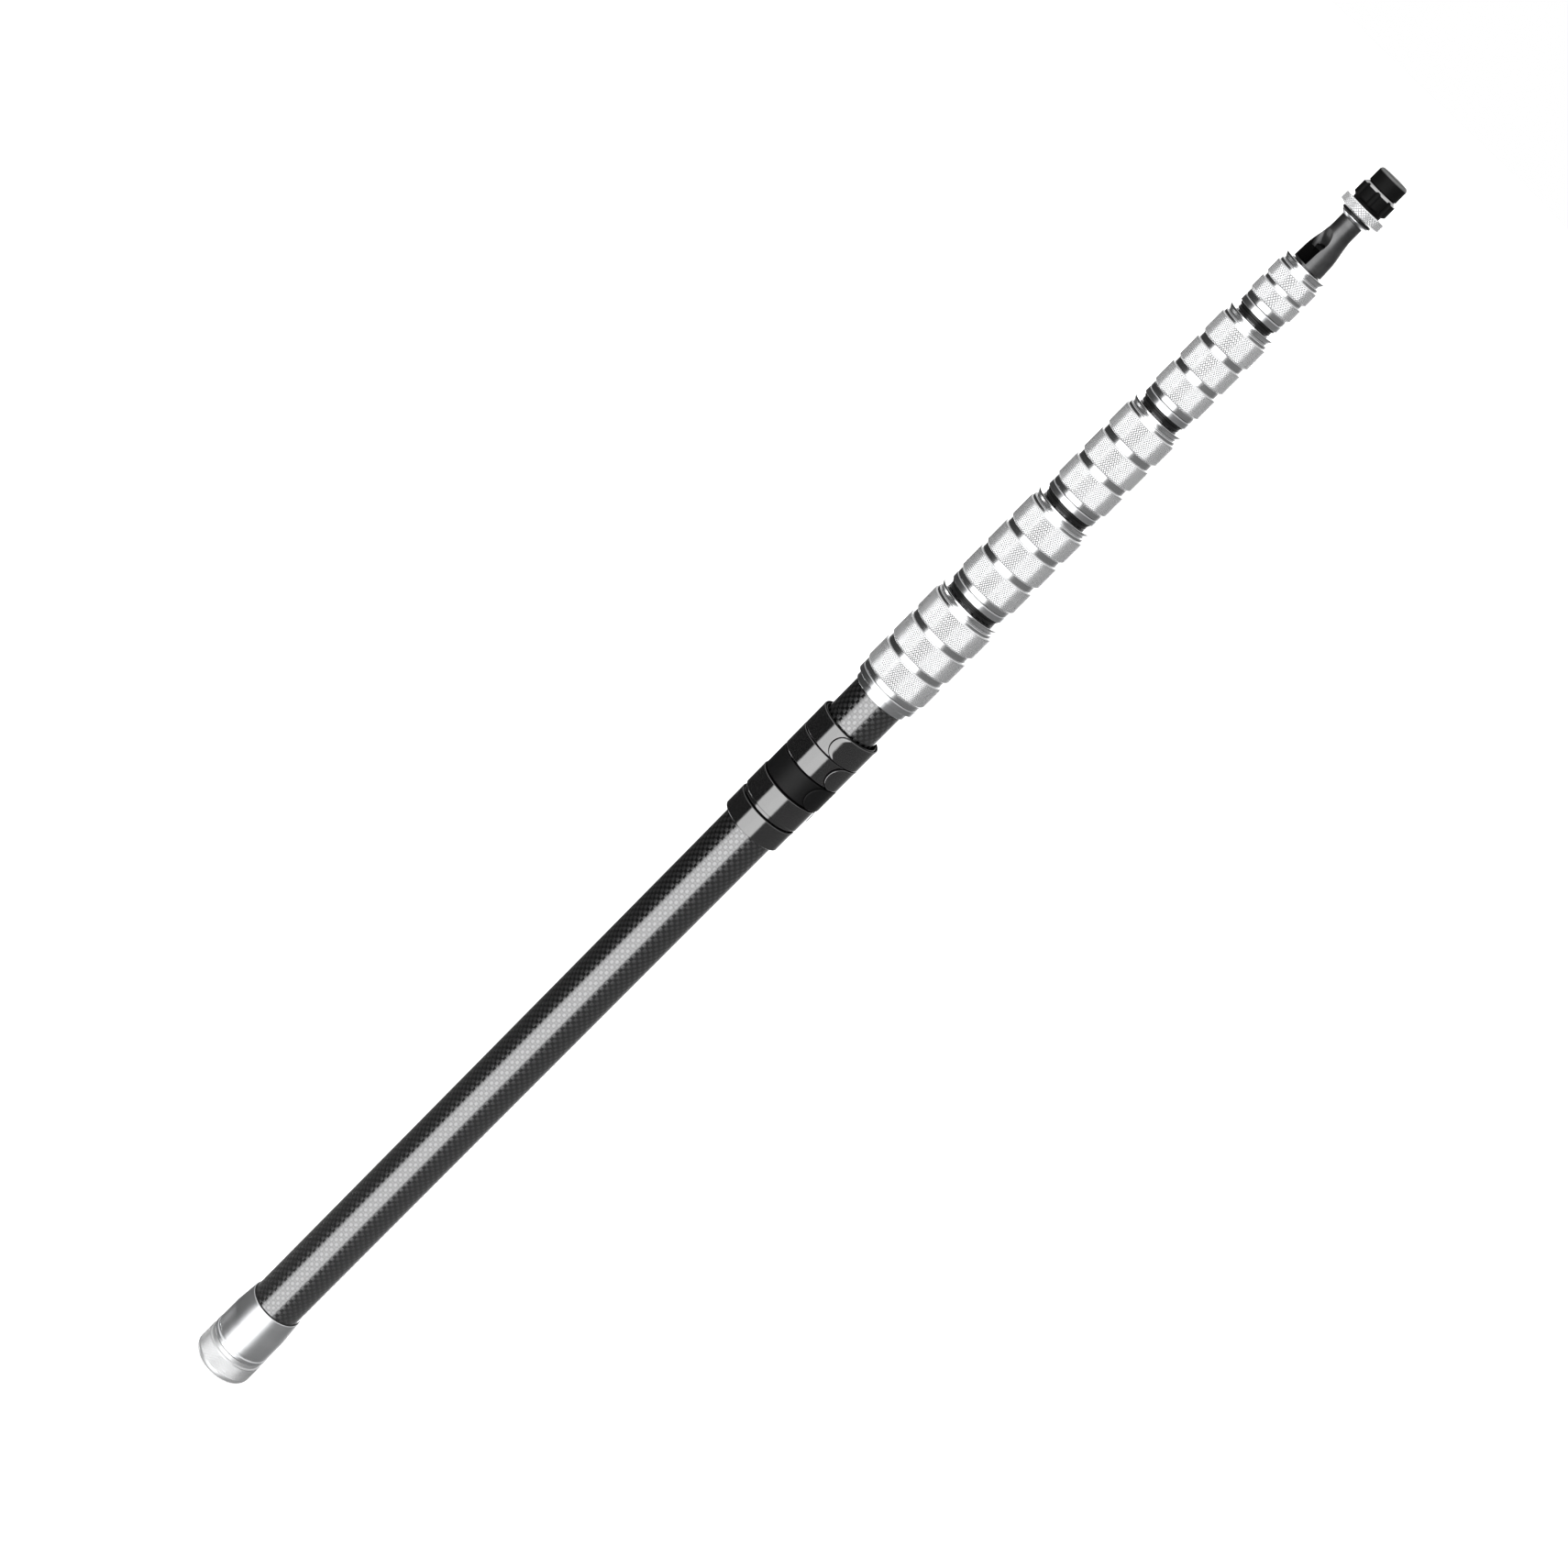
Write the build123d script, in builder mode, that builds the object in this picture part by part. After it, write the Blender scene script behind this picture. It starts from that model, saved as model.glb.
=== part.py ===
from build123d import *
import os
from dataclasses import dataclass

# Six-section telescopic boom pole, collapsed and standing on its foot cap.
# +Z runs up the pole from the foot to the tip, the origin is the centre of the foot cap's
# bottom face, and the cable window in the head faces -Y. All sizes are in millimetres.

os.makedirs("parts", exist_ok=True)

# ---------------------------------------------------------------- tubes
SECTIONS = 6
OUTER_TUBE_RADIUS = 18.0
RADIUS_STEP = 1.9  # each section is this much slimmer than the one round it
TUBE_WALL = 1.0
TUBE_FOOT_HEIGHT = 33.0  # bottom end of the outer tube

# ---------------------------------------------------------------- fits
GLUE_GAP = 0.05  # glued, pushed and seated faces
SLIDE_GAP = 0.1  # guide bush in the tube round it
GRIP_GAP = 0.06  # collet round the tube that it grips
THREAD_GAP = 0.15  # between a male and a female thread, both drawn as plain cylinders
CONE_GAP = 0.15  # nut's cone round the collet's cone

# ---------------------------------------------------------------- twist locks
FIRST_LOCK_HEIGHT = 644.0
SHOULDER = 4.6  # ferrule's plain ring under the nut
SKIRT = 3.6  # nut's plain ring under its grip bands
LIP = 6.4  # nut's waist and flared rim above its grip bands
GRIP_STANDOFF = 4.55  # grip band's radius past its tube's radius
SHOULDER_STANDOFF = 3.6
NECK_STANDOFF = 2.1  # ferrule's threaded neck
COUNTERBORE_STANDOFF = 0.7
BAND_TOP_CHAMFER = 0.5
BAND_FOOT_CHAMFER = 1.1
GROOVE_DEPTH = 1.3
LIFT_ROOM = 0.6  # free height above each nut, for its rise of 0.5 as it is loosened
BUMPER_HEIGHT = 4.3
STOP_THICKNESS = 2.5
TUBE_SEAT_SHARE = 0.27  # of a lock's length
NECK_SHARE = 0.6
COLLET_TOP_DROP = 3.6
COLLET_SLOTS = 6
COLLET_SLOT_WIDTH = 1.0

# ---------------------------------------------------------------- guide bushes
FIRST_BUSH_HEIGHT = 38.0
BUSH_HEIGHT_STEP = 6.0
BUSH_LENGTH = 22.0
BUSH_FLOOR = 1.5

# ---------------------------------------------------------------- foot
CAP_RADIUS = 21.0
CAP_CORNER = 4.5
CAP_GRIP_TOP = 17.0
CAP_TOP = 20.2
CAP_PLUG_RADIUS = 16.0
CAP_PLUG_TOP = 31.0
CAP_FLOOR = 4.0
CAP_HOLLOW_RADIUS = 13.0
SEAL_THICKNESS = 0.5
SEAL_GAP = 0.1
FOOT_SLEEVE_TOP = 60.0

# ---------------------------------------------------------------- cable straps
STRAP_COUNT = 5
FIRST_STRAP_HEIGHT = 524.8
STRAP_PITCH = 17.8
STRAP_WIDTH = 17.2
STRAP_RADIUS = 21.2

# ---------------------------------------------------------------- head and tip
HEAD_RADIUS = 10.2
HEAD_WAIST_RADIUS = 9.9
HEAD_WAIST_HEIGHT = 7.0  # heights in this block are above the head's base
HEAD_NECK_RADIUS = 7.25
HEAD_NECK_HEIGHT = 27.5
HEAD_LENGTH = 34.8
HEAD_BORE_RADIUS = 5.8
HEAD_BORE_TOP = 13.0
HEAD_BORE_POINT = 16.5
SPIGOT_LENGTH = 25.0
WINDOW_WIDTH = 12.4
WINDOW_FOOT = 1.0
WINDOW_FLOOR_TOP = 9.6
WINDOW_RAMP_TOP = 24.3  # where the ramp leaves the head's surface
WINDOW_RAMP_RADIUS = 7.75
WINDOW_REACH = 16.0
STUD_RADIUS = 4.76  # 3/8 inch stud
STUD_FOOT = 26.2
STUD_LENGTH = 35.5
CONE_WASHER_HEIGHT = 2.1
CONE_WASHER_RADIUS = 9.4
RING_SEAL_HEIGHT = 1.5
RING_SEAL_RADIUS = 10.2
JAM_RING_HEIGHT = 6.5
JAM_RING_RADIUS = 14.1
JAM_RING_FOOT_RADIUS = 10.3
JAM_RING_CONE = 1.2
RING_DROP_ROOM = 0.3  # how much lower the loosened jam ring can sit
SLEEVE_HEIGHT = 11.85
SLEEVE_RADIUS = 11.75
SLEEVE_FOOT_RADIUS = 9.9
SLEEVE_BORE_RADIUS = 8.0
SLEEVE_RIM_RADIUS = 10.0
SLEEVE_RIM_CHAMFER = 1.8  # height of the slope between the wall and the rim
FLUTES = 8
FLUTE_RADIUS = 2.4
FLUTE_DEPTH = 1.1
CORE_NECK_RADIUS = 9.3
NOSE_GAP = 0.5  # from the sleeve's rim up to the nose
NOSE_HEIGHT = 9.8
NOSE_RADIUS = 10.0
NOSE_CORNER = 2.0


def tube_radius(section):
    """Outer radius of a section's tube. Section 1 is the outer one."""
    return OUTER_TUBE_RADIUS - RADIUS_STEP * (section - 1)


def bush_height(section):
    """Height of the underside of the guide bush on a section's foot."""
    return FIRST_BUSH_HEIGHT + BUSH_HEIGHT_STEP * (section - 2)


@dataclass
class Lock:
    """The twist lock at the top of a section: ferrule, collet and nut."""

    section: int
    start: float
    bands: int
    band_length: float
    groove: float

    @property
    def length(self):
        grip = self.bands * self.band_length + (self.bands - 1) * self.groove
        return SHOULDER + SKIRT + grip + LIP

    @property
    def top(self):
        return self.start + self.length

    @property
    def tube_end(self):
        """Top end of this section's tube, which is also the guide bush's stop."""
        return self.start + TUBE_SEAT_SHARE * self.length

    @property
    def stop_top(self):
        return self.tube_end + STOP_THICKNESS

    @property
    def neck_top(self):
        return self.start + NECK_SHARE * self.length

    @property
    def grip_radius(self):
        return tube_radius(self.section) + GRIP_STANDOFF

    def band_starts(self):
        first = self.start + SHOULDER + SKIRT
        return [first + i * (self.band_length + self.groove) for i in range(self.bands)]


# Grip bands of locks 1 to 5: how many, how long, and the groove between them.
GRIPS = [(3, 17.0, 4.1), (3, 17.0, 4.1), (3, 16.3, 4.3), (3, 15.6, 4.1), (2, 10.2, 2.2)]

locks = []
height = FIRST_LOCK_HEIGHT
for number, (bands, band_length, groove) in enumerate(GRIPS, start=1):
    locks.append(Lock(number, height, bands, band_length, groove))
    height = locks[-1].top + LIFT_ROOM + BUMPER_HEIGHT

HEAD_BASE = locks[-1].top + LIFT_ROOM


def save(piece, name):
    """Labels a finished piece and writes its STEP file."""
    piece.part.label = name
    export_step(piece.part, f"parts/{name}.step")


def turned(name, outline):
    """A piece turned about Z from a closed outline of (radius, height) points."""
    with BuildPart() as piece:
        with BuildSketch(Plane.XZ):
            with BuildLine():
                Polyline(*outline, close=True)
            make_face()
        revolve(axis=Axis.Z)
    save(piece, name)


def tube(section, bottom, top):
    """The carbon tube of a section."""
    radius = tube_radius(section)
    with BuildPart() as piece:
        with BuildSketch(Plane.XY.offset(bottom)):
            Circle(radius)
            Circle(radius - TUBE_WALL, mode=Mode.SUBTRACT)
        extrude(amount=top - bottom)
    save(piece, f"tube_{section}")


def guide_bush(section):
    """The plastic bush on a section's foot, which slides in the tube round it."""
    bore = tube_radius(section) - TUBE_WALL
    seat = tube_radius(section) + GLUE_GAP
    outer = tube_radius(section - 1) - TUBE_WALL - SLIDE_GAP
    foot = bush_height(section)
    lead_in = 0.4
    turned(
        f"guide_bush_{section}",
        [
            (bore, foot),
            (outer - lead_in, foot),
            (outer, foot + lead_in),
            (outer, foot + BUSH_LENGTH),
            (seat, foot + BUSH_LENGTH),
            (seat, foot + BUSH_FLOOR),
            (bore, foot + BUSH_FLOOR),
        ],
    )


def ferrule(lock):
    """The aluminium sleeve glued on a tube's top, with the lock's male thread and the bush's stop."""
    seat = tube_radius(lock.section) + GLUE_GAP
    bore = tube_radius(lock.section + 1) + 0.3
    shoulder = tube_radius(lock.section) + SHOULDER_STANDOFF
    neck = tube_radius(lock.section) + NECK_STANDOFF
    counterbore = tube_radius(lock.section) + COUNTERBORE_STANDOFF
    shoulder_top = lock.start + SHOULDER - 0.3
    break_edge = 0.4
    outline = [
        (seat, lock.start),
        (shoulder - break_edge, lock.start),
        (shoulder, lock.start + break_edge),
        (shoulder, shoulder_top - break_edge),
        (shoulder - break_edge, shoulder_top),
        (neck, shoulder_top),
        (neck, lock.neck_top - break_edge),
        (neck - break_edge, lock.neck_top),
        (counterbore, lock.neck_top),
        (counterbore, lock.stop_top),
        (bore, lock.stop_top),
        (bore, lock.tube_end + GLUE_GAP),
        (seat, lock.tube_end + GLUE_GAP),
    ]
    if lock.section == 1:
        # The outer tube's ferrule has a slimmer collar below, where the tube leaves it.
        collar, collar_foot = seat + 1.1, lock.start - 5.0
        outline[1:1] = [(collar, lock.start)]
        outline[0:1] = [(seat, collar_foot), (collar - break_edge, collar_foot)]
        outline[2:2] = [(collar, collar_foot + break_edge)]
    turned(f"ferrule_{lock.section}", outline)


def collet(lock):
    """The slotted plastic collet that the nut squeezes on the next tube."""
    bore = tube_radius(lock.section + 1) + GRIP_GAP
    sleeve = tube_radius(lock.section) + COUNTERBORE_STANDOFF - THREAD_GAP
    head = tube_radius(lock.section) + 1.7
    nose = tube_radius(lock.section + 1) + 1.25
    foot = lock.stop_top + 0.4
    top = lock.top - COLLET_TOP_DROP
    slot_foot = foot + 0.2 * (top - foot)
    outline = [
        (bore, foot),
        (sleeve, foot),
        (sleeve, lock.neck_top + 0.2),
        (head, lock.neck_top + 0.2),
        (head, lock.neck_top + 1.2),
        (nose, top),
        (bore, top),
    ]
    with BuildPart() as piece:
        with BuildSketch(Plane.XZ):
            with BuildLine():
                Polyline(*outline, close=True)
            make_face()
        revolve(axis=Axis.Z)
        with BuildSketch(Plane.XY.offset(slot_foot)):
            with PolarLocations(head, COLLET_SLOTS):
                Rectangle(head, COLLET_SLOT_WIDTH)
        extrude(amount=lock.length, mode=Mode.SUBTRACT)
    save(piece, f"collet_{lock.section}")


def lock_nut(lock):
    """The knurled nut: plain skirt, grip bands, waist and flared rim outside, cone inside."""
    grip = lock.grip_radius
    skirt = grip - 1.05
    floor = grip - GROOVE_DEPTH
    thread = tube_radius(lock.section) + NECK_STANDOFF + THREAD_GAP
    mouth = tube_radius(lock.section + 1) + 0.5
    cone_foot = tube_radius(lock.section) + 1.7 + CONE_GAP
    cone_top = tube_radius(lock.section + 1) + 1.25 + CONE_GAP
    foot = lock.start + SHOULDER
    break_edge = 0.3
    outline = [(thread, foot), (skirt - break_edge, foot), (skirt, foot + break_edge)]
    for band in lock.band_starts():
        band_top = band + lock.band_length
        outline += [
            (skirt if band == lock.band_starts()[0] else floor, band - 0.1),
            (grip - BAND_FOOT_CHAMFER, band),
            (grip, band + BAND_FOOT_CHAMFER),
            (grip, band_top - BAND_TOP_CHAMFER),
            (grip - BAND_TOP_CHAMFER, band_top),
            (floor, band_top + 0.1),
        ]
    waist = lock.top - LIP
    outline[-1] = (grip - 0.9, waist + 0.1)
    outline += [
        (grip - 1.0, waist + 1.9),
        (grip - 2.1, waist + 2.5),
        (grip - 2.1, waist + 2.9),
        (grip - 0.9, waist + 5.1),
        (grip - 0.7, waist + 5.5),
        (grip - 0.7, lock.top - 0.4),
        (grip - 1.1, lock.top),
        (mouth + 0.6, lock.top),
        (mouth, lock.top - 0.6),
        (mouth, lock.top - COLLET_TOP_DROP + 0.2),
        (cone_top, lock.top - COLLET_TOP_DROP + 0.2),
        (cone_foot, lock.neck_top + 1.0),
        (thread, lock.neck_top + 0.8),
    ]
    turned(f"lock_nut_{lock.section}", outline)


def bumper(lock):
    """The rubber ring under a moving section's ferrule, which meets the nut below."""
    bore = tube_radius(lock.section) + GLUE_GAP
    foot = lock.start - BUMPER_HEIGHT
    step = foot + 0.55 * BUMPER_HEIGHT
    turned(
        f"bumper_{lock.section}",
        [
            (bore, foot),
            (bore + 1.4, foot),
            (bore + 1.6, foot + 0.2),
            (bore + 1.6, step - 0.3),
            (bore + 1.3, step - 0.15),
            (bore + 1.3, step + 0.15),
            (bore + 2.2, step + 0.3),
            (bore + 2.4, step + 0.5),
            (bore + 2.4, lock.start - 0.2),
            (bore + 2.2, lock.start),
            (bore, lock.start),
        ],
    )


# ---------------------------------------------------------------- foot
SEAL_TOP = CAP_TOP + SEAL_GAP + SEAL_THICKNESS
SLEEVE_FOOT = SEAL_TOP + SEAL_GAP

with BuildPart() as foot_cap:
    with BuildSketch(Plane.XZ):
        with BuildLine():
            Line((0, 0), (CAP_RADIUS - CAP_CORNER, 0))
            RadiusArc((CAP_RADIUS - CAP_CORNER, 0), (CAP_RADIUS, CAP_CORNER), -CAP_CORNER)
            Polyline(
                (CAP_RADIUS, CAP_CORNER),
                (CAP_RADIUS, CAP_GRIP_TOP - 0.5),
                (CAP_RADIUS - 0.5, CAP_GRIP_TOP),
                (CAP_RADIUS - 1.1, CAP_GRIP_TOP + 0.2),
                (CAP_RADIUS - 1.1, CAP_TOP),
                (CAP_PLUG_RADIUS, CAP_TOP),
                (CAP_PLUG_RADIUS, CAP_PLUG_TOP - 0.8),
                (CAP_PLUG_RADIUS - 0.8, CAP_PLUG_TOP),
                (CAP_HOLLOW_RADIUS, CAP_PLUG_TOP),
                (CAP_HOLLOW_RADIUS, CAP_FLOOR),
                (0, CAP_FLOOR),
                (0, 0),
            )
        make_face()
    revolve(axis=Axis.Z)
save(foot_cap, "foot_cap")

# Flat gasket between the cap and the sleeve.
turned(
    "foot_cap_seal",
    [
        (CAP_PLUG_RADIUS + SEAL_GAP, CAP_TOP + SEAL_GAP),
        (CAP_RADIUS - 1.6, CAP_TOP + SEAL_GAP),
        (CAP_RADIUS - 1.6, SEAL_TOP),
        (CAP_PLUG_RADIUS + SEAL_GAP, SEAL_TOP),
    ],
)

# Rubber pad that the collapsed sections land on, pushed into the cap's plug.
with BuildPart() as foot_pad:
    with BuildSketch(Plane.XY.offset(CAP_PLUG_TOP + GLUE_GAP)):
        Circle(CAP_PLUG_RADIUS - 1.0)
    extrude(amount=3.5)
    fillet(foot_pad.edges().sort_by(Axis.Z)[-1], radius=1.0)
    with BuildSketch(Plane.XY.offset(CAP_PLUG_TOP + GLUE_GAP)):
        Circle(CAP_HOLLOW_RADIUS - GLUE_GAP)
    extrude(amount=-5.0)
save(foot_pad, "foot_pad")

# Sleeve glued on the outer tube's foot, slightly tapered towards the tube.
turned(
    "foot_sleeve",
    [
        (CAP_PLUG_RADIUS + THREAD_GAP, SLEEVE_FOOT),
        (20.5, SLEEVE_FOOT),
        (20.9, SLEEVE_FOOT + 0.4),
        (20.9, SLEEVE_FOOT + 2.8),
        (20.5, SLEEVE_FOOT + 3.2),
        (20.1, SLEEVE_FOOT + 3.4),
        (20.1, SLEEVE_FOOT + 4.6),
        (20.5, SLEEVE_FOOT + 4.8),
        (20.6, SLEEVE_FOOT + 5.4),
        (20.5, 42.0),
        (19.0, FOOT_SLEEVE_TOP - 0.3),
        (18.7, FOOT_SLEEVE_TOP),
        (OUTER_TUBE_RADIUS + GLUE_GAP, FOOT_SLEEVE_TOP),
        (OUTER_TUBE_RADIUS + GLUE_GAP, TUBE_FOOT_HEIGHT - GLUE_GAP),
        (CAP_PLUG_RADIUS + THREAD_GAP, TUBE_FOOT_HEIGHT - GLUE_GAP),
    ],
)

# ---------------------------------------------------------------- tubes, bushes and locks
tube(1, TUBE_FOOT_HEIGHT, locks[0].tube_end)
for section in range(2, SECTIONS + 1):
    top = HEAD_BASE - GLUE_GAP if section == SECTIONS else locks[section - 1].tube_end
    tube(section, bush_height(section) + BUSH_FLOOR + GLUE_GAP, top)
    guide_bush(section)

for lock in locks:
    ferrule(lock)
    collet(lock)
    lock_nut(lock)

for lock in locks[1:]:
    bumper(lock)

# ---------------------------------------------------------------- cable straps round the outer tube
for strap in range(STRAP_COUNT):
    with BuildPart() as cable_strap:
        with BuildSketch(Plane.XY.offset(FIRST_STRAP_HEIGHT + strap * STRAP_PITCH)):
            Circle(STRAP_RADIUS)
            Circle(OUTER_TUBE_RADIUS + GLUE_GAP, mode=Mode.SUBTRACT)
        extrude(amount=STRAP_WIDTH)
    save(cable_strap, f"cable_strap_{strap + 1}")

# ---------------------------------------------------------------- head
HEAD_TOP = HEAD_BASE + HEAD_LENGTH
SPIGOT_RADIUS = tube_radius(SECTIONS) - TUBE_WALL - GLUE_GAP

with BuildPart() as head:
    with BuildSketch(Plane.XZ):
        with BuildLine():
            Polyline(
                (HEAD_NECK_RADIUS, HEAD_BASE + HEAD_NECK_HEIGHT),
                (HEAD_NECK_RADIUS, HEAD_TOP),
                (STUD_RADIUS + GLUE_GAP, HEAD_TOP),
                (STUD_RADIUS + GLUE_GAP, HEAD_BASE + STUD_FOOT - GLUE_GAP),
                (0, HEAD_BASE + STUD_FOOT - GLUE_GAP),
                (0, HEAD_BASE + HEAD_BORE_POINT),
                (HEAD_BORE_RADIUS, HEAD_BASE + HEAD_BORE_TOP),
                (HEAD_BORE_RADIUS, HEAD_BASE - SPIGOT_LENGTH),
                (SPIGOT_RADIUS - 0.5, HEAD_BASE - SPIGOT_LENGTH),
                (SPIGOT_RADIUS, HEAD_BASE - SPIGOT_LENGTH + 0.5),
                (SPIGOT_RADIUS, HEAD_BASE),
                (HEAD_RADIUS, HEAD_BASE),
                (HEAD_WAIST_RADIUS, HEAD_BASE + HEAD_WAIST_HEIGHT),
            )
            Spline(
                (HEAD_WAIST_RADIUS, HEAD_BASE + HEAD_WAIST_HEIGHT),
                (HEAD_NECK_RADIUS, HEAD_BASE + HEAD_NECK_HEIGHT),
                tangents=[(-0.12, 1), (0, 1)],
            )
        make_face()
    revolve(axis=Axis.Z)
    # Cable window: a slot into the bore that ends in a ramp up to the surface.
    ramp_slope = (WINDOW_RAMP_TOP - WINDOW_FLOOR_TOP) / WINDOW_RAMP_RADIUS
    with BuildSketch(Plane.YZ):
        with BuildLine():
            Polyline(
                (0, HEAD_BASE + WINDOW_FOOT),
                (0, HEAD_BASE + WINDOW_FLOOR_TOP),
                (-WINDOW_REACH, HEAD_BASE + WINDOW_FLOOR_TOP + ramp_slope * WINDOW_REACH),
                (-WINDOW_REACH, HEAD_BASE + WINDOW_FOOT),
                close=True,
            )
        make_face()
    extrude(amount=WINDOW_WIDTH / 2, both=True, mode=Mode.SUBTRACT)
save(head, "head")

# Threaded stud in the head's neck, which carries the washers, jam ring and tip.
with BuildPart() as stud:
    with BuildSketch(Plane.XY.offset(HEAD_BASE + STUD_FOOT)):
        Circle(STUD_RADIUS)
    extrude(amount=STUD_LENGTH)
    chamfer(stud.edges(), length=0.6)
save(stud, "stud")

CONE_WASHER_TOP = HEAD_TOP + GLUE_GAP + CONE_WASHER_HEIGHT
turned(
    "cone_washer",
    [
        (STUD_RADIUS + THREAD_GAP, HEAD_TOP + GLUE_GAP),
        (HEAD_NECK_RADIUS, HEAD_TOP + GLUE_GAP),
        (HEAD_NECK_RADIUS + 0.7, CONE_WASHER_TOP - 1.6),
        (CONE_WASHER_RADIUS, CONE_WASHER_TOP - 0.4),
        (CONE_WASHER_RADIUS, CONE_WASHER_TOP),
        (STUD_RADIUS + THREAD_GAP, CONE_WASHER_TOP),
    ],
)

RING_SEAL_FOOT = CONE_WASHER_TOP + RING_DROP_ROOM
RING_SEAL_TOP = RING_SEAL_FOOT + RING_SEAL_HEIGHT
turned(
    "jam_ring_seal",
    [
        (STUD_RADIUS + THREAD_GAP, RING_SEAL_FOOT),
        (RING_SEAL_RADIUS - 0.4, RING_SEAL_FOOT),
        (RING_SEAL_RADIUS, RING_SEAL_FOOT + 0.4),
        (RING_SEAL_RADIUS, RING_SEAL_TOP - 0.4),
        (RING_SEAL_RADIUS - 0.4, RING_SEAL_TOP),
        (STUD_RADIUS + THREAD_GAP, RING_SEAL_TOP),
    ],
)

JAM_RING_FOOT = RING_SEAL_TOP + SEAL_GAP
JAM_RING_TOP = JAM_RING_FOOT + JAM_RING_HEIGHT
turned(
    "jam_ring",
    [
        (STUD_RADIUS + THREAD_GAP, JAM_RING_FOOT),
        (JAM_RING_FOOT_RADIUS, JAM_RING_FOOT),
        (JAM_RING_RADIUS, JAM_RING_FOOT + JAM_RING_CONE),
        (JAM_RING_RADIUS, JAM_RING_TOP - 0.5),
        (JAM_RING_RADIUS - 0.5, JAM_RING_TOP),
        (STUD_RADIUS + THREAD_GAP, JAM_RING_TOP),
    ],
)

# ---------------------------------------------------------------- quick-release tip
TIP_FOOT = JAM_RING_TOP + SEAL_GAP
RIM = TIP_FOOT + SLEEVE_HEIGHT

# Fluted sleeve, whose flutes cut its sloped rim into tabs that index the part clipped on the nose.
with BuildPart() as tip_sleeve:
    with BuildSketch(Plane.XZ):
        with BuildLine():
            Polyline(
                (SLEEVE_BORE_RADIUS, TIP_FOOT),
                (SLEEVE_FOOT_RADIUS, TIP_FOOT),
                (SLEEVE_FOOT_RADIUS, TIP_FOOT + 1.2),
                (SLEEVE_RADIUS, TIP_FOOT + 2.6),
                (SLEEVE_RADIUS, RIM - SLEEVE_RIM_CHAMFER),
                (SLEEVE_RIM_RADIUS, RIM),
                (SLEEVE_BORE_RADIUS, RIM),
                close=True,
            )
        make_face()
    revolve(axis=Axis.Z)
    with BuildSketch(Plane.XY.offset(TIP_FOOT)):
        with PolarLocations(SLEEVE_RADIUS - FLUTE_DEPTH + FLUTE_RADIUS, FLUTES):
            Circle(FLUTE_RADIUS)
    extrude(amount=SLEEVE_HEIGHT, mode=Mode.SUBTRACT)
save(tip_sleeve, "tip_sleeve")

# Core: stem in the sleeve, neck above the rim, and the nose that a socket slides over.
NOSE_FOOT = RIM + NOSE_GAP
with BuildPart() as tip_core:
    with BuildSketch(Plane.XZ):
        with BuildLine():
            Polyline(
                (STUD_RADIUS + THREAD_GAP, TIP_FOOT),
                (SLEEVE_BORE_RADIUS - GLUE_GAP, TIP_FOOT),
                (SLEEVE_BORE_RADIUS - GLUE_GAP, RIM + GLUE_GAP),
                (CORE_NECK_RADIUS, RIM + GLUE_GAP),
                (CORE_NECK_RADIUS, NOSE_FOOT),
                (NOSE_RADIUS, NOSE_FOOT),
                (NOSE_RADIUS, NOSE_FOOT + NOSE_HEIGHT),
                (0, NOSE_FOOT + NOSE_HEIGHT),
                (0, HEAD_BASE + STUD_FOOT + STUD_LENGTH + 1.0),
                (STUD_RADIUS + THREAD_GAP, HEAD_BASE + STUD_FOOT + STUD_LENGTH + 1.0),
                close=True,
            )
        make_face()
    revolve(axis=Axis.Z)
    fillet(tip_core.edges().group_by(Axis.Z)[-1], radius=NOSE_CORNER)
save(tip_core, "tip_core")

# ---------------------------------------------------------------- figures for the record
for section in range(2, SECTIONS + 1):
    travel = locks[section - 2].tube_end - bush_height(section) - BUSH_LENGTH
    print(f"section {section} travel {travel:.2f}")
for lock in locks:
    print(f"lock {lock.section} start {lock.start:.2f} top {lock.top:.2f} tube end {lock.tube_end:.2f}")
print(f"head base {HEAD_BASE:.2f} top {HEAD_TOP:.2f} nose {NOSE_FOOT:.2f} to {NOSE_FOOT + NOSE_HEIGHT:.2f}")
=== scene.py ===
"""Looks of a six-section telescopic boom pole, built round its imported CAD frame.

Every mesh is a surface worked out with numpy in the frame's own axes, in metres: +Z runs up the
pole from the foot to the tip. Sizes in the classes are in millimetres, as a maker would state them,
and places come from the frame's nodes.
"""

import logging
import math
from collections.abc import Callable, Sequence
from dataclasses import dataclass, field
from enum import Enum
from typing import TypeAlias

import bmesh
import bpy
import numpy as np
from mathutils import Matrix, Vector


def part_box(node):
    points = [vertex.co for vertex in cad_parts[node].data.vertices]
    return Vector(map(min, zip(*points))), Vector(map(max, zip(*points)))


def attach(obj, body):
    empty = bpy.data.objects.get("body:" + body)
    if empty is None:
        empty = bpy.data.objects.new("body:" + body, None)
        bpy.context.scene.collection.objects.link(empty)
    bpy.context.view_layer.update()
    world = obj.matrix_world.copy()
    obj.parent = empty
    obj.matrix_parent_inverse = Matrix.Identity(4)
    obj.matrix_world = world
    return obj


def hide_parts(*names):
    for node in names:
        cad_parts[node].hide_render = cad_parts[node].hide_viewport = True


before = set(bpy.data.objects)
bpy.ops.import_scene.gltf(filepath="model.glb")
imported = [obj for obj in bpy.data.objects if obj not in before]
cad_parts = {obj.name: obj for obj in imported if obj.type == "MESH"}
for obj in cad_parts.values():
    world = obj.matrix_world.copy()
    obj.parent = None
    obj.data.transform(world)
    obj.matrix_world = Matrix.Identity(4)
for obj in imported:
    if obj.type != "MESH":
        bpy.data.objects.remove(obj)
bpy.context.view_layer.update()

MM = 0.001
FULL_TURN = 2 * math.pi
SECTIONS = 6
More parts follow.
